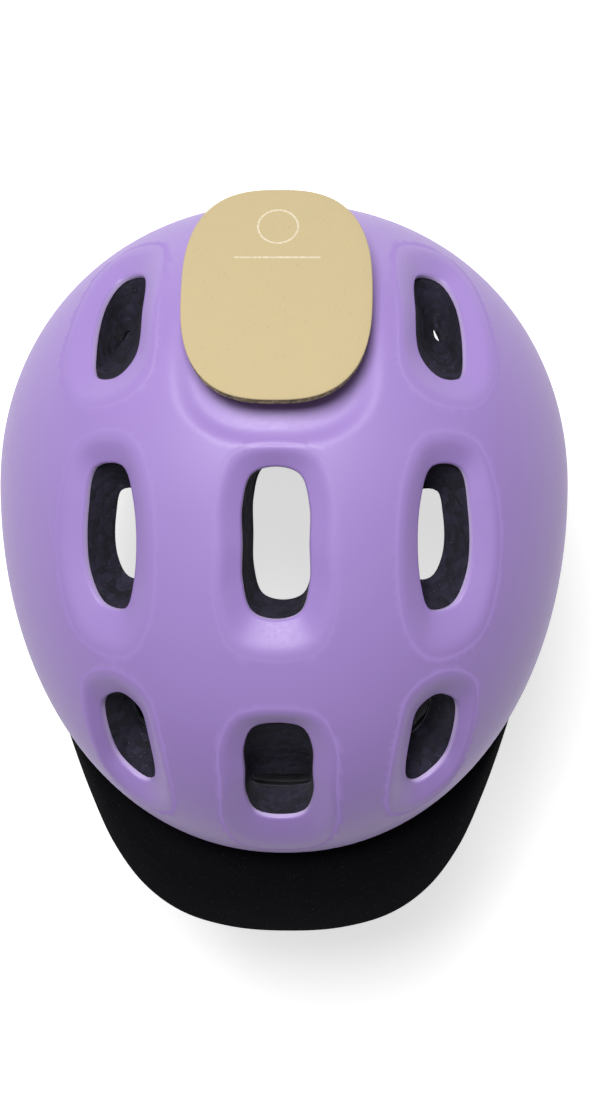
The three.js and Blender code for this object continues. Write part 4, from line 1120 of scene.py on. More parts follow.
@dataclass
class VentedSkin:
    """A dome-shaped wall with dished vents, closed round every hole and along its hem."""

    inset: float
    segments: int
    rows: int
    hem: Callable[[float], float]

    def underside(self, point: Vector) -> Vector:
        """The inner face's point under a point of the outer face."""
        raise NotImplementedError

    def throat(self, vent: Vent, bearing: float, twin: Vector) -> list[Vector]:
        """Points from the dish's edge through the hole to the inner face, at one bearing."""
        raise NotImplementedError

    def surface(self, point: Vector) -> Vector:
        """A dome point sunk by the recess; the vents are added ring by ring."""
        return point + RECESS.sink(point)

    def brim(self, outer: Vector, inner: Vector) -> list[Vector]:
        """Points that round the hem from the outer face to the inner one."""
        half = (inner - outer).length / 2
        turns = (math.radians(a) for a in (30, 60, 90, 120, 150))
        return [outer.lerp(inner, (1 - math.cos(a)) / 2) - Vector((0, 0, min(half, 1.0) * math.sin(a) * 0.6))
                for a in turns]

    def build(self) -> BMesh:
        """Builds the wall.

        Returns:
            A closed mesh with each hole's lip marked in its lip_highlight layer, where the painted highlight
            goes.
        """
        bm = bmesh.new()
        # marks the rings that take the painted highlight on each hole's lip
        lip_lit = bm.verts.layers.float.new("lip_highlight")
        bmesh.ops.create_uvsphere(bm, u_segments=self.segments, v_segments=self.rows, radius=1.0)
        for vert in bm.verts:
            reach = Vector(DOME.reach(vert.co + DOME.centre, self.inset))
            vert.co = DOME.settle(DOME.centre + vert.co * reach, self.inset)
        hem = set(carve(bm, lambda p: p.z - self.hem(p.y)))
        mouths = []
        for vent in VENTS:
            loop = carve(bm, lambda p, v=vent: v.share(p) - v.spread)
            keys = {vert: vent.polar(vert.co)[0] for vert in loop}
            for vert, bearing in keys.items():
                vert.co = vent.on_skin(bearing, vent.spread, 0.0, self.inset)
            mouths.append((vent, keys))
        for vert in hem:
            bearing = math.atan2(vert.co.y - DOME.centre_y, vert.co.x)
            for _ in range(3):
                vert.co = DOME.wall(bearing, self.hem(vert.co.y), self.inset)
        for vert in bm.verts:
            vert.co = self.surface(vert.co)
        outer = list(bm.verts)
        twins = bmesh.ops.duplicate(bm, geom=[*outer, *bm.edges, *bm.faces])["vert_map"]
        for vert in outer:
            twins[vert].co = self.underside(vert.co)
        for vent, keys in mouths:
            ring: Ring = {}
            for vert, bearing in keys.items():
                twin = twins[vert]
                ring[vert] = ThroatKey(bearing, tuple(self.throat(vent, bearing, twin.co)), twin)
            self.close(bm, ring, lip_lit)
        self.close(bm, {
            vert: ThroatKey(0.0, tuple(self.brim(vert.co, twins[vert].co)), twins[vert]) for vert in hem
        }, lip_lit)
        bmesh.ops.recalc_face_normals(bm, faces=bm.faces)
        return bm

    def close(self, bm: BMesh, ring: Ring, lip_lit: object) -> None:
        """Extrudes a loop through its keys' spots and welds it to its twins.

        Args:
            bm: the mesh.
            ring: the outer face's loop.
            lip_lit: the layer that marks where the painted highlight goes.
        """
        for index in range(len(next(iter(ring.values())).spots)):
            ring = extrude_ring(bm, ring, lambda key, i=index: key.spots[i])
            # the lip rings are marked for the painted highlight
            share = self.lip_highlight(index)
            for vert in ring:
                vert[lip_lit] = share
        ring = extrude_ring(bm, ring, lambda key: key.twin.co)
        bmesh.ops.weld_verts(bm, targetmap={vert: key.twin for vert, key in ring.items()})

    def lip_highlight(self, index: int) -> float:
        """How strongly a ring takes the painted highlight, from 0 to 1."""
        return 0.0


@dataclass
class ShellSkin(VentedSkin):
    """The polycarbonate shell."""

    wall: float = 2.0
    lip: float = 0.9
    slopes: tuple[float, ...] = (1.3, 1.18, 1.08, 1.0, 0.92, 0.83, 0.7, 0.55, 0.4, 0.26, 0.14)

    def underside(self, point: Vector) -> Vector:
        """Moves a point in by the wall."""
        return point - DOME.normal(point) * self.wall

    def throat(self, vent: Vent, bearing: float, twin: Vector) -> list[Vector]:
        """Runs down the dish, round the lip, down the trimmed edge and back under the dish."""
        outer = [vent.on_skin(bearing, share, 0.0, self.inset) for share in self.slopes]
        for turn in (0, 30, 60, 90):
            a = math.radians(turn)
            outer.append(vent.on_skin(
                bearing, 0.0, self.lip * (1 - math.sin(a)), self.inset, self.lip * (1 - math.cos(a))))
        foot = vent.on_skin(bearing, 0.0, 0.0, self.inset, self.wall)
        under = [vent.on_skin(bearing, share, 0.0, self.inset) for share in reversed(self.slopes[::2])]
        spots = [self.surface(p) for p in [*outer, foot]]
        return spots + [self.underside(self.surface(p)) for p in under]

    def lip_highlight(self, index: int) -> float:
        """The painted highlight, on each hole's rolled lip and trimmed edge."""
        trimmed = len(self.slopes)
        return {trimmed + 2: 0.5, trimmed + 3: 1.0, trimmed + 4: 1.0}.get(index, 0.0)


@dataclass
class FoamSkin(VentedSkin):
    """The foam liner: thick, with straight walls drawn through it."""

    inner_inset: float = 22.3
    clearance: float = 0.5
    slopes: tuple[float, ...] = (1.2, 1.0, 0.8, 0.5, 0.2)
    walls: int = 6

    def underside(self, point: Vector) -> Vector:
        """Carries a point through the foam to its smooth inner face."""
        return DOME.along(point, DOME.normal(point), self.inner_inset)

    def throat(self, vent: Vent, bearing: float, twin: Vector) -> list[Vector]:
        """Runs down the dish and the hole's wall and out over the inner face."""
        spots = [self.surface(vent.on_skin(bearing, share, 0.0, self.inset)) for share in self.slopes]
        top = self.surface(vent.on_skin(bearing, 0.0, self.clearance, self.inset))
        draw = vent.axes[2]
        foot = vent.foot(top, self.inner_inset)
        spots += [top.lerp(foot, step / self.walls) for step in range(self.walls)]
        rounded = 1.5
        outward = (top - vent.centre) - draw * (top - vent.centre).dot(draw)
        outward.normalize()
        for turn in (0, 45, 90):
            a = math.radians(turn)
            spots.append(foot + draw * rounded * (1 - math.sin(a)) + outward * rounded * (1 - math.cos(a)))
        spots += [DOME.settle(spots[-1].lerp(twin, share), self.inner_inset) for share in (0.33, 0.66)]
        return spots

    def brim(self, outer: Vector, inner: Vector) -> list[Vector]:
        """Crosses the foam's flat lower face."""
        return [outer.lerp(inner, share) for share in (0.02, 0.5, 0.98)]


@dataclass
class ShellAssembly:
    """The shell, the foam inside it and the black band round its hem."""

    segments: int = 216
    rows: int = 150
    foam_segments: int = 128
    foam_rows: int = 90
    band_segments: int = 240
    band_flange: float = 19.3

    def shell(self) -> bpy.types.Object:
        """Builds the lilac shell."""
        skin = ShellSkin(0.0, self.segments, self.rows, RIM.edge, wall=SHELL_WALL)
        role = Role("vented_shell", "helmet", "shell", ("outer_shell",))
        return publish(skin.build(), role, LILAC_SHELL, sharp=75)

    def foam(self) -> bpy.types.Object:
        """Builds the foam liner."""
        skin = FoamSkin(SHELL_WALL + GAP, self.foam_segments, self.foam_rows,
                        lambda y: RIM.hem(y) + BAND_WALL + GAP, inner_inset=FOAM_INNER)
        role = Role("foam_liner", "helmet", "foam", ("eps_liner",))
        return publish(skin.build(), role, BLACK_FOAM, sharp=60)

    def band_profile(self) -> list[tuple[float, float, float]]:
        """The band's section: inset, share from hem to top, and millimetres above that."""
        flange = BAND_WALL + self.band_flange
        return [
            (0.7, 1, -0.1), (0.2, 1, -0.35), (0.0, 1, -1.0), (0.0, 0.55, 0), (0.35, 0.48, 0), (0.35, 0.4, 0),
            (0.0, 0.33, 0), (0.0, 0, 1.6), (0.3, 0, 0.7), (1.0, 0, 0.15), (2.2, 0, 0.0), (flange - 1, 0, 0.0),
            (flange, 0, 0.5), (flange, 0, 1.5), (flange - 0.6, 0, 2.0), (BAND_WALL + 0.6, 0, 2.0),
            (BAND_WALL, 0, 2.6), (BAND_WALL, 1, -0.6), (1.6, 1, -0.1)]

    def band(self) -> bpy.types.Object:
        """Builds the rim band, with a grip line round it and a flange under the foam."""
        bm = bmesh.new()
        rings = []
        for inset, share, rise in self.band_profile():
            ring = []
            for step in range(self.band_segments):
                bearing = math.tau * step / self.band_segments
                point = DOME.wall(bearing, 15.0, inset)
                for _ in range(4):
                    low, high = RIM.hem(point.y), RIM.edge(point.y) - GAP
                    point = DOME.wall(bearing, low + (high - low) * share + rise, inset)
                ring.append(point)
            rings.append(ring)
        loft(bm, rings, closed=True)
        bmesh.ops.recalc_face_normals(bm, faces=bm.faces)
        return publish(bm, Role("hem_band", "helmet", "band", ("rim_band",)), RIM_ABS, sharp=50)


@dataclass
class Peak:
    """The pull-off visor: an arched peak with a full round edge, and three pins."""

    half_angle: float = math.radians(48)
    root_level: float = 30.0
    end_level: float = 24.0
    tip_level: float = 20.0
    arch: float = 4.5
    root_thickness: float = 3.4
    edge_thickness: float = 2.2
    clearance: float = 0.4
    outline: tuple[tuple[float, float], ...] = (
        (0, -165), (22, -163.4), (42, -157.2), (57, -146), (69, -129), (78, -108), (86, -84), (91, -66))
    columns: int = 110
    rows: int = 30
    pin_offsets: tuple[float, ...] = (-40.0, 0.0, 40.0)
    pin_radius: float = 3.5
    pin_sides: int = 28
    pin_engagement: float = 12.0
    socket_radius: float = 6.1
    set_back: float = 5.0

    def root_at(self, x: float) -> float:
        """Height of the peak's root at an offset from the middle."""
        return self.root_level + (self.end_level - self.root_level) * (x / self.outline[-1][0]) ** 2

    def edge_route(self) -> Route:
        """The peak's outer edge, from end to end."""
        left = [(-x, y) for x, y in reversed(self.outline[1:])]
        return Route(smooth_curve([*left, *self.outline], 16))

    def point(self, route: Route, along: float, out: float, through: float) -> Vector:
        """A point of the peak.

        Args:
            route: its outer edge.
            along: -1 to 1 round the brow.
            out: 0 at the root to 1 at the edge.
            through: 0 on the underside to 1 on top.

        Returns:
            The point.
        """
        root = DOME.wall(-math.pi / 2 + self.half_angle * along, self.root_level, -self.clearance)
        root.z = self.root_at(root.x)
        edge = route.at((along + 1) / 2).to_3d()
        edge.z = self.tip_level + (self.end_level - self.tip_level) * along**2
        point = root.lerp(edge, out)
        point.z += self.arch * math.sin(math.pi * out) * math.cos(math.pi * along / 2)
        thickness = self.root_thickness + (self.edge_thickness - self.root_thickness) * out
        point.z += (through - 0.5) * thickness
        return point

    def pin_ends(self, x: float) -> tuple[float, float]:
        """Where a pin leaves the peak and where its nose is, along Y."""
        level = self.root_at(x)
        nose = DOME.brow(abs(x) + self.socket_radius, level, self.set_back) + self.pin_engagement
        return DOME.brow(x, level, -self.clearance) - 4, nose

    def bore(self, piece: bpy.types.Object, radius: float, past: float) -> None:
        """Bores a piece for the three pins with a Boolean, which is applied.

        Args:
            piece: the band or the foam.
            radius: the bores' radius.
            past: how far they run past the pins' noses.
        """
        bm = bmesh.new()
        for x in self.pin_offsets:
            root, nose = self.pin_ends(x)
            turn = Matrix.Translation((x, root, self.root_at(x))) @ Matrix.Rotation(-math.pi / 2, 4, "X")
            lathe(bm, [(radius, 0.0), (radius, nose + past - root)], turn, sides=40)
        bmesh.ops.recalc_face_normals(bm, faces=bm.faces)
        bmesh.ops.scale(bm, vec=(MM, MM, MM), verts=bm.verts)
        mesh = bpy.data.meshes.new("bore")
        bm.to_mesh(mesh)
        bm.free()
        cutter = bpy.data.objects.new("bore", mesh)
        bpy.context.scene.collection.objects.link(cutter)
        cut = piece.modifiers.new("bore", "BOOLEAN")
        cut.operation, cut.solver, cut.object = "DIFFERENCE", "EXACT", cutter
        result = bpy.data.meshes.new_from_object(piece.evaluated_get(bpy.context.evaluated_depsgraph_get()))
        piece.modifiers.clear()
        piece.data = result
        bpy.data.objects.remove(cutter)

    def pin(self, bm: BMesh, x: float) -> None:
        """Adds one pin with a rounded nose and a waist that the socket grips."""
        level = self.root_at(x)
        root, tip = self.pin_ends(x)
        profile = [(root, 1.0), (tip - 6, 1.0), (tip - 5, 0.84), (tip - 3.4, 0.84), (tip - 2.4, 1.0),
                   (tip - 1.2, 0.97), (tip - 0.4, 0.7), (tip, 0.3)]
        bearings = np.linspace(0, math.tau, self.pin_sides, endpoint=False)
        reach = self.pin_radius
        loft(bm, [[Vector((x + reach * r * math.cos(a), y, level + reach * r * math.sin(a)))
                   for a in bearings] for y, r in profile])

    def build(self) -> bpy.types.Object:
        """Builds the peak with its pins."""
        bm = bmesh.new()
        route = self.edge_route()
        block = bent_block(bm, self.columns, self.rows,
                           lambda u, v, w: self.point(route, 2 * u - 1, v, w))
        edges = {e for v in block for e in v.link_edges if e.calc_face_angle(0.0) > math.radians(55)}
        bmesh.ops.recalc_face_normals(bm, faces=bm.faces)
        bmesh.ops.bevel(bm, geom=list(edges), offset=0.95, segments=4, profile=0.5, affect="EDGES",
                        material=-1, clamp_overlap=True)
        for x in self.pin_offsets:
            self.pin(bm, x)
        bmesh.ops.recalc_face_normals(bm, faces=bm.faces)
        return publish(bm, Role("peak", "visor", "visor", ("visor",)), PEAK_ABS, sharp=50)


@dataclass
class Patch:
    """The beige patch: a stamped face on a cork core, held off the shell by a rubber boss."""

    seat_y: float = 87.0
    centre_along: float = 2.9
    length: float = 86.0
    width: float = 66.0
    power: float = 2.7
    face: float = 1.0
    core: float = 2.4
    boss: float = 1.6
    sides: int = 144
    gap: float = GAP
    motif_along: float = 27.0

    def place(self) -> Matrix:
        """The patch's frame: X across, Y up the slope to its front, Z out."""
        seat = DOME.over(0, self.seat_y)
        out = DOME.normal(seat)
        forward = out.cross(Vector((1, 0, 0)))
        turn = Matrix((Vector((1, 0, 0)), forward, out)).transposed().to_4x4()
        down = forward if forward.z < 0 else -forward
        turn.translation = seat + down * self.centre_along
        return turn

    def layer(
        self, low: float, high: float, round_over: float, shrink: float = 0.0, swell: float = 0.0
    ) -> BMesh:
        """One layer of the patch, rounded over at its edges.

        Args:
            low: its underside above the dome's tangent plane.
            high: its top.
            round_over: radius of its edges.
            shrink: how far its outline is pulled in.
            swell: how much lower its top is at the rim than in the middle.

        Returns:
            The layer's mesh, in place.
        """
        outline = superellipse(self.width / 2 - shrink, self.length / 2 - shrink, self.power, self.sides)
        corner = [(round_over * (1 - math.sin(a)), round_over * (1 - math.cos(a)))
                  for a in np.linspace(0, math.pi / 2, 4)]
        section = [(inside, low + up) for inside, up in corner]
        section += [(inside, high - up) for inside, up in reversed(corner)]
        frame_of = self.place()
        rings = []
        inner_shares = (0.1, 0.5, 0.9)
        for share in inner_shares:
            rings.append([frame_of @ Vector((p.x * share, p.y * share, low)) for p in outline])
        for inside, z in section:
            rings.append([frame_of @ (p * (1 - inside / p.length) + Vector((0, 0, z))) for p in outline])
        for share in reversed(inner_shares):
            top = high + swell * (1 - share**2)
            rings.append([frame_of @ Vector((p.x * share, p.y * share, top)) for p in outline])
        bm = bmesh.new()
        loft(bm, rings)
        bmesh.ops.recalc_face_normals(bm, faces=bm.faces)
        return bm

    def build(self) -> list[bpy.types.Object]:
        """Builds the core and the face."""
        base, top = self.boss, self.boss + self.core
        place = self.place()
        up_slope = -self.motif_along if place.col[1].z > 0 else self.motif_along
        stamp = place @ Vector((0, up_slope, top))
        normal = place.col[2]
        leather = BondedLeather(
            "bonded_leather", "#c4b38c", 0.82, centre=tuple(stamp), slope=math.atan2(-normal[1], normal[2]))
        core = publish(self.layer(base, top + self.gap, 0.35, shrink=0.35),
                       Role("patch_cork_core", "helmet", "core", ("patch_core",)), CORK_CORE, sharp=55)
        face = publish(self.layer(top + self.gap, top + self.gap + self.face, 0.45, swell=0.25),
                       Role("patch_leather_face", "helmet", "patch", ("patch_face",)), leather, sharp=55)
        return [core, face]


@dataclass
class Studio:
    """The floor, lights and camera round the helmet."""

    camera_at: tuple[float, float, float] = (27.58, 100.70, 833.14)
    camera_towards: tuple[float, float, float] = (9.05, -6.29, 38.0)
    lens: float = 68.48
    floor_drop: float = 3.0
    floor_half: float = 4000.0

    def floor(self) -> None:
        """Lays a pale floor under the chin strap."""
        bm = bmesh.new()
        bmesh.ops.create_grid(bm, x_segments=8, y_segments=8, size=self.floor_half * MM)
        level = CAD_BOX[0][2] - self.floor_drop * MM
        bmesh.ops.translate(bm, verts=bm.verts, vec=(0, 0, level))
        mesh = bpy.data.meshes.new("studio_floor")
        bm.to_mesh(mesh)
        bm.free()
        paint = bpy.data.materials.new("matt_studio_paint")
        paint.use_nodes = True
        shader = paint.node_tree.nodes["Principled BSDF"]
        shader.inputs["Base Color"].default_value = linear_colour("#f4f4f4")
        shader.inputs["Roughness"].default_value = 0.9
        shader.inputs["Emission Color"].default_value = (1.0, 1.0, 1.0, 1.0)
        shader.inputs["Emission Strength"].default_value = 0.62
        mesh.materials.append(paint)
        floor = bpy.data.objects.new("studio_floor", mesh)
        bpy.context.scene.collection.objects.link(floor)

    def light(self, name: str, at: Sequence[float], size: float, power: float) -> None:
        """Hangs one square soft light that faces the helmet.

        Args:
            name: its name.
            at: where it hangs, in metres.
            size: its side, in metres.
            power: its power in watts.
        """
        data = bpy.data.lights.new(name, "AREA")
        data.size = size
        data.energy = power
        lamp = bpy.data.objects.new(name, data)
        lamp.location = at
        lamp.rotation_euler = (Vector((0, 0, 0.05)) - Vector(at)).to_track_quat("-Z", "Y").to_euler()
        bpy.context.scene.collection.objects.link(lamp)

    def camera(self) -> None:
        """Sets the camera nearly overhead, with the helmet's rear at the top of the frame."""
        data = bpy.data.cameras.new("camera")
        data.lens = self.lens
        data.sensor_width = 36.0
        camera = bpy.data.objects.new("camera", data)
        at, towards = Vector(self.camera_at) * MM, Vector(self.camera_towards) * MM
        back = (at - towards).normalized()
        right = Vector((0, 1, 0)).cross(back).normalized()
        turn = Matrix((right, back.cross(right), back)).transposed()
        camera.matrix_world = Matrix.LocRotScale(at, turn.to_quaternion(), None)
        bpy.context.scene.collection.objects.link(camera)
        bpy.context.scene.camera = camera

    def build(self) -> None:
        """Sets the whole studio."""
        self.camera()
        self.floor()
        bpy.context.scene.view_settings.view_transform = "Standard"
        world = bpy.data.worlds.new("studio")
        world.use_nodes = True
        sky = world.node_tree.nodes["Background"]
        sky.inputs["Color"].default_value = (1.0, 1.0, 1.0, 1.0)
        sky.inputs["Strength"].default_value = 0.1
        bpy.context.scene.world = world
        self.light("key_overhead_rear", (-0.12, 0.55, 1.3), 0.5, 18.5)
        self.light("fill_left", (-1.2, -0.3, 0.9), 1.2, 0.8)


# ---------------------------------------------------------------- fittings


def refine(node: str, round_over: float, segments: int = 2, steep: float = 28.0) -> BMesh:
    """Copies a CAD node, merges its facets into whole faces and rounds its edges.

    Args:
        node: the CAD node.
        round_over: the rounding's width.
        segments: faces across the rounding.
        steep: edges that turn more than this many degrees are rounded.

    Returns:
        The copy, in millimetres.
    """
    bm = bmesh.new()
    bm.from_mesh(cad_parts[node].data)
    bmesh.ops.scale(bm, vec=(1 / MM, 1 / MM, 1 / MM), verts=bm.verts)
    bmesh.ops.remove_doubles(bm, verts=bm.verts, dist=SAME_SPOT)
    bmesh.ops.dissolve_limit(bm, angle_limit=math.radians(FLAT), verts=bm.verts, edges=bm.edges)
    edges = [e for e in bm.edges if e.calc_face_angle(0.0) > math.radians(steep)]
    bmesh.ops.bevel(bm, geom=edges, offset=round_over, segments=segments, profile=0.5, affect="EDGES",
                    material=-1, clamp_overlap=True)
    bmesh.ops.triangulate(bm, faces=[f for f in bm.faces if len(f.verts) > 4])
    return bm


def fit(
    node: str, name: str, body: str, slot: str, finish: Finish, round_over: float, segments: int = 2
) -> None:
    """Publishes a CAD node's rounded copy in its place.

    Args:
        node: the CAD node.
        name: the new piece's name.
        body: the body that it rides on.
        slot: its material slot.
        finish: its finish.
        round_over: the rounding's width.
        segments: faces across the rounding.
    """
    publish(refine(node, round_over, segments), Role(name, body, slot, (node,)), finish)


def bar(bm: BMesh, low: Sequence[float], high: Sequence[float], round_over: float) -> None:
    """Adds a block with rounded edges between two corners."""
    verts = bmesh.ops.create_cube(bm, size=1.0)["verts"]
    size = [h - l for l, h in zip(low, high)]
    bmesh.ops.scale(bm, vec=size, verts=verts)
    bmesh.ops.translate(bm, vec=[(h + l) / 2 for l, h in zip(low, high)], verts=verts)
    edges = list({e for v in verts for e in v.link_edges})
    bmesh.ops.bevel(bm, geom=edges, offset=round_over, segments=3, profile=0.5, affect="EDGES",
                    material=-1, clamp_overlap=True)


@dataclass(frozen=True)
class Webbing:
    """Flat webbing with fuller, bound edges."""

    width: float = 15.0
    thickness: float = 1.4
    sides: int = 20
    pitch: float = 2.5

    def lay(self, bm: BMesh, stations: Sequence[Station]) -> None:
        """Lays the strap along stations.

        Args:
            bm: the mesh to add to.
            stations: each station's middle, direction across and outward direction.
        """
        weave = bm.verts.layers.float_vector.get("weave") or bm.verts.layers.float_vector.new("weave")
        section = superellipse(self.width / 2, self.thickness / 2, 4.5, self.sides)
        rings = [[middle + across * p.x + out * p.y for p in section] for middle, across, out in stations]
        gaps = [0.0] + [(b[0] - a[0]).length for a, b in zip(stations, stations[1:])]
        distance = np.cumsum(gaps)
        for index, vert in enumerate(loft(bm, rings)):
            row, column = divmod(index, self.sides)
            vert[weave] = Vector((distance[row], section[column].x, 0.0))

    def stations(self, route: Route, across: Vector) -> list[Station]:
        """Stations along a route, one for each pitch.

        Args:
            route: the strap's middle line.
            across: the direction across the strap.

        Returns:
            Stations for lay.
        """
        count = max(int(route.lengths[-1] / self.pitch), 2)
        result = []
        for step in range(count + 1):
            result.append((route.at(step / count), across, route.heading(step / count).cross(across)))
        return result


@dataclass(frozen=True)
class Stitching:
    """Bonded thread: short stitches in a closed box, with a cross through it."""

    length: float = 2.2
    gauge: float = 0.55
    gap: float = 0.7
    box_length: float = 11.0
    box_width: float = 10.0

    def stitch(self, bm: BMesh, start: Vector, end: Vector) -> None:
        """Adds one stitch, a slim bead between two points."""
        verts = bmesh.ops.create_icosphere(bm, subdivisions=1, radius=0.5)["verts"]
        along = end - start
        turn = along.to_track_quat("X", "Z").to_matrix().to_4x4()
        size = Matrix.Diagonal((along.length, self.gauge, self.gauge, 1.0))
        bmesh.ops.transform(bm, matrix=Matrix.Translation((start + end) / 2) @ turn @ size, verts=verts)

    def seam(self, bm: BMesh, start: Vector, end: Vector) -> None:
        """Adds a straight row of stitches."""
        count = max(round((end - start).length / (self.length + self.gap)), 1)
        share = self.length / (self.length + self.gap)
        for index in range(count):
            self.stitch(bm, start.lerp(end, index / count), start.lerp(end, (index + share) / count))

    def box(self, bm: BMesh, middle: Vector, across: Vector, along: Vector, rise: float) -> None:
        """Adds a crossed box of stitches to both faces of a strap.

        Args:
            bm: the mesh to add to.
            middle: the box's middle, in the strap.
            across: the direction across the strap.
            along: the direction along it.
            rise: half the strap's thickness.
        """
        out = across.cross(along).normalized() * rise
        a, b = across * (self.box_width / 2), along * (self.box_length / 2)
        for face in (out, -out):
            corners = [middle + face + p for p in (a + b, b - a, -a - b, a - b)]
            for first, second in zip(corners, corners[1:] + corners[:1]):
                self.seam(bm, first, second)
            self.seam(bm, corners[0], corners[2])
            self.seam(bm, corners[1], corners[3])


WEBBING = Webbing()
STITCHING = Stitching()
THREAD = MouldedRubber("bonded_thread", "#3d3d46", 0.7, bloom="#55555f", bloom_size=1.0)


@dataclass
class Harness:
    """Four anchors and V straps, two dividers with levers, and the chin strap."""

    yoke_inset: float = 31.0
    yoke_y: float = 23.0
    yoke_z: float = -62.0
    tab_foot: float = -88.0
    slot_depth: float = 7.7
    anchor_stations: tuple[tuple[str, float], ...] = (("front", -35.0), ("rear", 75.0))
    strap_head: float = 5.7
    strap_in_disc: float = 6.0
    chin_level: float = -135.0
    chin_reach: float = 34.0
    chin_ends: tuple[float, float] = (-29.0, 11.3)
    chin_drop_share: float = 0.78
    seam_share: float = 0.12

    def yoke(self, side: Side) -> Vector:
        """The divider's middle."""
        return Vector((side.value * (DOME.half_width - self.yoke_inset), self.yoke_y, self.yoke_z))

    def v_strap(self, side: Side, place: str, y: float) -> None:
        """Builds one strap from its anchor into its divider, with the box that sews its end."""
        exit_point = DOME.wall_at(side.value, y, RIM.hem(y), FOAM_MIDDLE)
        yoke = self.yoke(side)
        down = (yoke - exit_point).normalized()
        ends = [exit_point - down * self.strap_head, yoke - down * self.strap_in_disc]
        route = Route(np.array([ends[0].lerp(ends[1], s) for s in np.linspace(0, 1, 12)]))
        across = Vector((side.value, 0, 0)).cross(down).normalized()
        bm = bmesh.new()
        WEBBING.lay(bm, WEBBING.stations(route, across))
        bmesh.ops.recalc_face_normals(bm, faces=bm.faces)
        name = f"{place}_{side.label}"
        publish(bm, Role(f"web_{name}", "helmet", "webbing", (f"strap_{name}",)), STRAP_WEBBING, sharp=60)
        thread = bmesh.new()
        STITCHING.box(thread, exit_point + down * 17, across, down, WEBBING.thickness / 2)
        publish(thread, Role(f"thread_{name}", "helmet", "webbing"), THREAD)
        fit(f"strap_anchor_{name}", f"anchor_boss_{name}", "helmet", "plastic", SMOOTH_NYLON, 0.7, 3)

    def chin_route(self, side: Side) -> Route:
        """The middle line of half the chin strap."""
        x, y = self.yoke(side).x, self.yoke_y
        end = self.chin_ends[0 if side is Side.LEFT else 1]
        foot = Vector((x, y, self.tab_foot))
        drop = self.tab_foot - self.chin_level
        knots = (foot, Vector((x, y, self.tab_foot - self.chin_drop_share * drop)),
                 Vector((end + side.value * self.chin_reach, y, self.chin_level)),
                 Vector((end, y, self.chin_level)))
        points = [foot + Vector((0, 0, self.slot_depth))]
        for t in np.linspace(0, 1, 40):
            shares = ((1 - t) ** 3, 3 * t * (1 - t) ** 2, 3 * t * t * (1 - t), t**3)
            points.append(sum((k * s for k, s in zip(knots, shares)), Vector()))
        return Route(np.array(points))

    def chin_strap(self, side: Side) -> None:
        """Builds half the chin strap; the right half runs from its divider to the buckle's tongue and is left
        unparented.
        """
        route = self.chin_route(side)
        across = Vector((0, 1, 0))
        bm = bmesh.new()
        WEBBING.lay(bm, WEBBING.stations(route, across))
        bmesh.ops.recalc_face_normals(bm, faces=bm.faces)
        bends = side is Side.RIGHT
        body = "buckle_male" if bends else "chin_loop"
        role = Role(f"web_chin_{side.label}", body, "webbing", (f"chin_strap_{side.label}",))
        strap = publish(bm, role, STRAP_WEBBING, sharp=60, ride=not bends)
        if bends:
            start, end = route.at(0.1) * MM, route.at(0.85) * MM
            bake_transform(strap)
        thread = bmesh.new()
        share = self.seam_share
        STITCHING.box(thread, route.at(share), across, route.heading(share), WEBBING.thickness / 2)
        publish(thread, Role(f"thread_chin_{side.label}", "chin_loop", "webbing"), THREAD)

    def divider(self, side: Side) -> None:
        """Builds one divider with its grip ridges, and its cam lever."""
        name = side.label
        fit(f"divider_{name}", f"divider_plate_{name}", "chin_loop", "plastic", SMOOTH_NYLON, 0.6, 3)
        lever = refine(f"divider_lever_{name}", 0.5, 3)
        low, high = (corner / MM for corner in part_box(f"divider_lever_{name}"))
        face = high.x if side is Side.RIGHT else low.x
        for step in range(3):
            z = low.z + 2.6 + 2.2 * step
            edges = sorted((face - side.value * 0.3, face + side.value * 0.45))
            bar(lever, (edges[0], low.y + 3, z - 0.5), (edges[1], high.y - 3, z + 0.5), 0.3)
        role = Role(f"cam_lever_{name}", f"lever_{name}", "plastic", (f"divider_lever_{name}",))
        publish(lever, role, SMOOTH_NYLON)

    def build(self) -> None:
        """Builds the whole harness but the buckle."""
        for side in Side:
            for place, y in self.anchor_stations:
                self.v_strap(side, place, y)
            self.chin_strap(side)
            self.divider(side)
        fit("strap_keeper", "elastic_keeper", "chin_loop", "rubber", BLACK_RUBBER, 0.35)


@dataclass
class Buckle:
    """The side-release buckle."""

    round_over: float = 0.9
    ridge_pitch: float = 2.4

    def build(self) -> None:
        """Builds both halves with their finger ridges, and the prongs."""
        fit("buckle_female", "buckle_socket", "chin_loop", "plastic", SMOOTH_NYLON, self.round_over, 3)
        male = refine("buckle_male", 0.6, 3)
        low, high = (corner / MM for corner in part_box("buckle_male"))
        for step in range(3):
            x = high.x - 4.2 - self.ridge_pitch * step
            for level, sign in ((high.z, 1), (low.z, -1)):
                edges = sorted((level - 0.4 * sign, level + 0.25 * sign))
                bar(male, (x - 0.6, low.y + 4, edges[0]), (x + 0.6, high.y - 4, edges[1]), 0.3)
        publish(male, Role("buckle_tongue", "buckle_male", "plastic", ("buckle_male",)), SMOOTH_NYLON)
        for place in ("front", "rear"):
            name = f"prong_{place}"
            fit(name, f"buckle_prong_{place}", name, "plastic", SMOOTH_NYLON, 0.35)


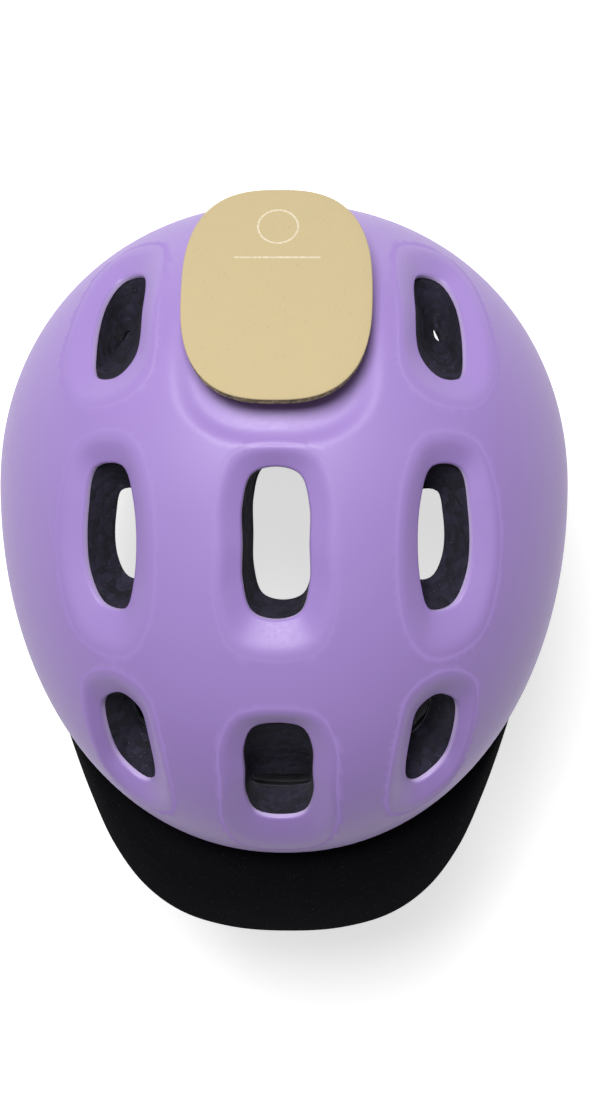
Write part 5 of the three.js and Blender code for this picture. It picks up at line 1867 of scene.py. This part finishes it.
@dataclass(frozen=True)
class PadShape:
    """The plan of a comfort pad: a welded flange round puffed foam with welded channels."""

    length: float
    width: float
    channels: int = 0
    thickness: float = 6.5
    flange: float = 2.6
    flange_thickness: float = 1.5
    swell: float = 6.0
    corner: float = 9.0
    channel_depth: float = 2.6
    channel_width: float = 1.7
    pitch: float = 1.6

    def plan(self, u: float, v: float) -> tuple[float, float]:
        """Turns two shares into millimetres from the middle, with rounded corners."""
        x, y = (u - 0.5) * self.length, (v - 0.5) * self.width
        radius = min(self.corner, self.width / 2 - 0.1)
        dx, dy = abs(x) - (self.length / 2 - radius), abs(y) - (self.width / 2 - radius)
        if dx > 0 and dy > 0:
            pull = max(dx, dy) / math.hypot(dx, dy)
            x = math.copysign(self.length / 2 - radius + dx * pull, x)
            y = math.copysign(self.width / 2 - radius + dy * pull, y)
        return x, y

    def height(self, u: float, v: float) -> float:
        """The pad's thickness at two shares."""
        edge = min(min(u, 1 - u) * self.length, min(v, 1 - v) * self.width)
        full = smooth_step((edge - self.flange) / self.swell) ** 0.6
        height = self.flange_thickness + (self.thickness - self.flange_thickness) * full
        for index in range(self.channels):
            at = ((index + 1) / (self.channels + 1) - 0.5) * self.length
            distance = abs((u - 0.5) * self.length - at)
            height -= self.channel_depth * full * math.exp(-((distance / self.channel_width) ** 2))
        crease = noise.noise(Vector((u * self.length, v * self.width, self.length)) * 0.22)
        return height + 0.35 * crease * full * (1 - full * 0.6)

    def build(self, place: Callable[[float, float, float], Vector]) -> BMesh:
        """Builds the pad.

        Args:
            place: gives a position from X and Y in the pad and the height above its back.

        Returns:
            The pad's mesh, in place.
        """
        bm = bmesh.new()

        def point(u: float, v: float, w: float) -> Vector:
            """Puts one corner of the block on the pad's back or face."""
            return place(*self.plan(u, v), w * self.height(u, v))

        bent_block(bm, round(self.length / self.pitch), round(self.width / self.pitch), point)
        bmesh.ops.recalc_face_normals(bm, faces=bm.faces)
        return bm


@dataclass
class Lining:
    """The comfort pads and the hook discs behind them."""

    hook_seat: float = 1.0
    hook: float = 1.2
    hook_gap: float = 0.8
    round_over: float = 0.3
    crown_across: tuple[float, float] = (15.5, 37.5)
    crown_along: tuple[float, float] = (-30.0, 44.0)

    @property
    def pad_inset(self) -> float:
        """Inset of the pads' backs."""
        return FOAM_INNER + self.hook_seat + self.hook + self.hook_gap

    def wall_pad(
        self, name: str, bearing: float, span: float, low: float, high: float, channels: int
    ) -> None:
        """Builds a pad on the liner's wall.

        Args:
            name: its place.
            bearing: the bearing of its middle, in degrees.
            span: how many degrees it covers.
            low: its lower edge.
            high: its upper edge.
            channels: welded channels across it.
        """
        middle, level = math.radians(bearing), (low + high) / 2
        span_angle = math.radians(span)
        ends = [DOME.wall(middle + span_angle * s, level, self.pad_inset) for s in np.linspace(-0.5, 0.5, 24)]
        length = sum((b - a).length for a, b in zip(ends, ends[1:]))
        shape = PadShape(length, high - low, channels)
        self.lay_pad(name, shape.build(
            lambda x, y, h: DOME.wall(middle + span_angle * x / length, level + y, self.pad_inset + h)))

    def lay_pad(self, name: str, bm: BMesh) -> None:
        """Publishes one pad as soft foam under cloth."""
        role = Role(f"comfort_pad_{name}", "helmet", "pad", (f"pad_{name}",))
        publish(bm, role, PAD_KNIT, sharp=70)

    def crown_pad(self, side: Side) -> None:
        """Builds a crown strip beside the middle vent."""
        (near, far), (front, rear) = self.crown_across, self.crown_along
        shape = PadShape(rear - front, far - near, 2)
        middle = Vector((side.value * (near + far) / 2, (front + rear) / 2, 0))
        self.lay_pad(f"crown_{side.label}", shape.build(
            lambda x, y, h: DOME.over(middle.x + y, middle.y + x, self.pad_inset + h)))

    def build(self) -> None:
        """Builds every pad and hook disc."""
        self.wall_pad("brow", -90, 76, 28, 54, 4)
        self.wall_pad("rear", 90, 64, 4, 40, 3)
        self.wall_pad("side_right", 0, 48, 26, 52, 2)
        self.wall_pad("side_left", 180, 48, 26, 52, 2)
        for side in Side:
            self.crown_pad(side)
        for node in sorted(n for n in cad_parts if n.startswith("hook_")):
            fit(node, f"{node}_disc", "helmet", "hook", HOOK_TAPE, self.round_over)


@dataclass
class Cradle:
    """The nape cradle: side bands, rivets, racks, housing, cover, pad, pinion and dial."""

    level: float = -34.0
    face: float = 95.0
    rack_front: float = 97.3
    rack_rear: float = 99.3
    rack_tail: float = 46.0
    band_inset: float = 24.6
    temple_y: float = -20.0
    temple_rise: float = 8.0
    drop_from: float = 10.0
    drop_to: float = 88.0
    band_height: float = 9.0
    band_thickness: float = 1.2
    band_steps: int = 90
    tongue: float = 14.2
    knob_radius: float = 13.0
    knob_lobes: int = 10
    knob_front: float = 102.4
    knob_depth: float = 8.0

    def band_route(self, side: Side) -> Route:
        """The middle line of a side band, from the temple to the housing."""
        temple = RIM.hem(self.temple_y) + self.temple_rise

        def level(y: float) -> float:
            """Height of the band at a station."""
            dropped = smooth_step((y - self.drop_from) / (self.drop_to - self.drop_from))
            return temple + (self.level - temple) * dropped

        stations = (self.temple_y, 0.0, 20.0, 40.0, 60.0, self.face - 19)
        points = [DOME.wall_at(side.value, y, level(y), self.band_inset) for y in stations]
        middle = (self.rack_front + self.rack_rear) / 2
        tail = Vector((side.value * (self.rack_tail + GAP), middle, self.level))
        return Route(smooth_curve([*points, tail + Vector((side.value * 7, -0.8, 0)), tail], 14))

    def band(self, side: Side) -> None:
        """Builds a side band with a groove down it, curving from the temple to the cradle; it is left
        unparented.
        """
        route = self.band_route(side)
        half = self.band_height / 2
        skin, corner = self.band_thickness / 2, self.band_thickness / 4
        inside = [(-half, -corner), (corner - half, -skin), (-1.3, -skin), (-0.9, -corner)]
        outside = [(half, corner), (half - corner, skin), (corner - half, skin), (-half, corner)]
        section = inside + [(-z, t) for z, t in reversed(inside)] + outside
        rings = []
        for step in range(self.band_steps + 1):
            share = step / self.band_steps
            heading = route.heading(share)
            out = Vector((heading.y, -heading.x, 0)).normalized()
            tip = min(share, 1.0) * route.lengths[-1]
            narrow = math.sqrt(max(1 - max(1 - tip / half, 0.0) ** 2, 0.04))
            rings.append([route.at(share) + out * t + Vector((0, 0, z * narrow)) for z, t in section])
        bm = bmesh.new()
        loft(bm, rings)
        bmesh.ops.recalc_face_normals(bm, faces=bm.faces)
        role = Role(f"temple_band_{side.label}", "helmet", "plastic", (f"side_band_{side.label}",))
        band = publish(bm, role, SMOOTH_NYLON, sharp=50, ride=False)
        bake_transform(band)
        sleeve = bmesh.new()
        ends = sorted((side.value * (self.rack_tail + GAP), side.value * (self.rack_tail + self.tongue + 1)))
        bar(sleeve, (ends[0], self.rack_front - 0.5, self.level - half),
            (ends[1], self.rack_rear + 0.5, self.level + half), 0.7)
        publish(sleeve, Role(f"rack_sleeve_{side.label}", "cradle", "plastic"), SMOOTH_NYLON)

    def rivet(self, side: Side) -> None:
        """Builds the domed rivet at the temple."""
        node = f"band_rivet_{side.label}"
        low, high = (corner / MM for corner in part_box(node))
        middle, reach = (low + high) / 2, (high.z - low.z) / 2
        depth = high.x - low.x
        profile = [
            (reach * 0.3, 0.0), (reach * 0.94, 0.0), (reach, 0.2), (reach, 0.5),
            (reach * 0.86, depth * 0.72), (reach * 0.5, depth * 0.96), (reach * 0.3, depth),
            (reach * 0.22, depth * 0.8), (0.1, depth * 0.75)]
        root = Matrix.Translation((high.x if side is Side.RIGHT else low.x, middle.y, middle.z))
        bm = bmesh.new()
        lathe(bm, profile, root @ Vector((-side.value, 0, 0)).to_track_quat("Z", "Y").to_matrix().to_4x4())
        bmesh.ops.recalc_face_normals(bm, faces=bm.faces)
        publish(bm, Role(f"temple_rivet_{side.label}", "helmet", "rivet", (node,)), RIVET_STEEL, sharp=50)

    def rack(self, side: Side) -> None:
        """Builds a rack with the tongue that runs in the band's sleeve."""
        name = f"rack_{side.label}"
        bm = refine(name, 0.12)
        near, far = sorted((side.value * (self.rack_tail - 2), side.value * (self.rack_tail + self.tongue)))
        middle = (self.rack_front + self.rack_rear) / 2
        bar(bm, (near, middle - 0.5, self.level - 3), (far, middle + 0.5, self.level + 3), 0.3)
        publish(bm, Role(f"toothed_{name}", name, "plastic", (name,)), SMOOTH_NYLON)

    def knob(self) -> None:
        """Builds the lobed dial knob, dished on its face, with a ridge on each lobe."""
        middle, rear = Vector((0, 0, self.level)), self.knob_front + self.knob_depth
        sides = 16 * self.knob_lobes

        def ring(scale: float, y: float, lobes: float) -> list[Vector]:
            """One ring of the knob, with its lobes more or less deep."""
            points = []
            for i in range(sides):
                a = math.tau * i / sides
                radius = self.knob_radius * scale - lobes * (1 - math.cos(self.knob_lobes * a)) / 2
                points.append(middle + Vector((radius * math.cos(a), y, radius * math.sin(a))))
            return points

        front = self.knob_front
        profile = [
            (0.27, front, 0), (0.9, front, 0.4), (0.97, front + 0.3, 0.9), (1, front + 1.0, 1.2),
            (1, front + 3, 1.3), (0.985, rear - 2.0, 1.3), (0.96, rear - 0.8, 1.1),
            (0.91, rear - 0.15, 0.8), (0.86, rear, 0.5), (0.78, rear - 0.1, 0.2), (0.7, rear - 0.9, 0),
            (0.5, rear - 1.3, 0), (0.34, rear - 1.2, 0), (0.3, rear - 0.9, 0), (0.27, rear - 0.9, 0),
            (0.25, rear - 2.0, 0)]
        rings = [ring(*row) for row in profile]
        bm = bmesh.new()
        loft(bm, rings)
        bmesh.ops.recalc_face_normals(bm, faces=bm.faces)
        publish(bm, Role("dial_grip", "dial", "plastic", ("dial_knob",)), SMOOTH_NYLON, sharp=45)

    def nape_pad(self) -> None:
        """Builds the pad in front of the housing."""
        low, high = (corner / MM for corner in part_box("nape_pad"))
        shape = PadShape(high.x - low.x, high.z - low.z, 3, thickness=high.y - low.y, swell=4.0, corner=6.0)
        bm = shape.build(lambda x, y, h: Vector((x, high.y - h, self.level + y)))
        pad = publish(bm, Role("nape_cushion", "cradle", "pad", ("nape_pad",)), PAD_KNIT, sharp=70)

    def build(self) -> None:
        """Builds the cradle."""
        for side in Side:
            self.band(side)
            self.rivet(side)
            self.rack(side)
        self.nape_pad()
        fit("cradle_housing", "housing_tray", "cradle", "plastic", SMOOTH_NYLON, 0.5, 3)
        fit("cradle_cover", "housing_cover", "cradle", "plastic", SMOOTH_NYLON, 0.6, 3)
        fit("dial_pinion", "pinion_shaft", "dial", "plastic", SMOOTH_NYLON, 0.1)
        self.knob()


def hidden_rubber() -> None:
    """Builds the visor's sockets and the patch's boss."""
    for place in ("left", "centre", "right"):
        fit(f"visor_socket_{place}", f"grip_socket_{place}", "helmet", "rubber", BLACK_RUBBER, 0.4)
    fit("patch_mount", "patch_boss", "helmet", "rubber", BLACK_RUBBER, 0.3)


def main() -> None:
    """Builds the studio and every sub-assembly in order."""
    logging.basicConfig(level=logging.INFO, format="%(name)s %(message)s")
    Studio().build()
    body = ShellAssembly()
    body.shell()
    foam, band = body.foam(), body.band()
    peak = Peak()
    peak.build()
    peak.bore(band, radius=3.8, past=0.0)
    peak.bore(foam, radius=6.1, past=2.3)
    Patch().build()
    hidden_rubber()
    Lining().build()
    Harness().build()
    Buckle().build()
    Cradle().build()


if __name__ == "__main__":
    main()
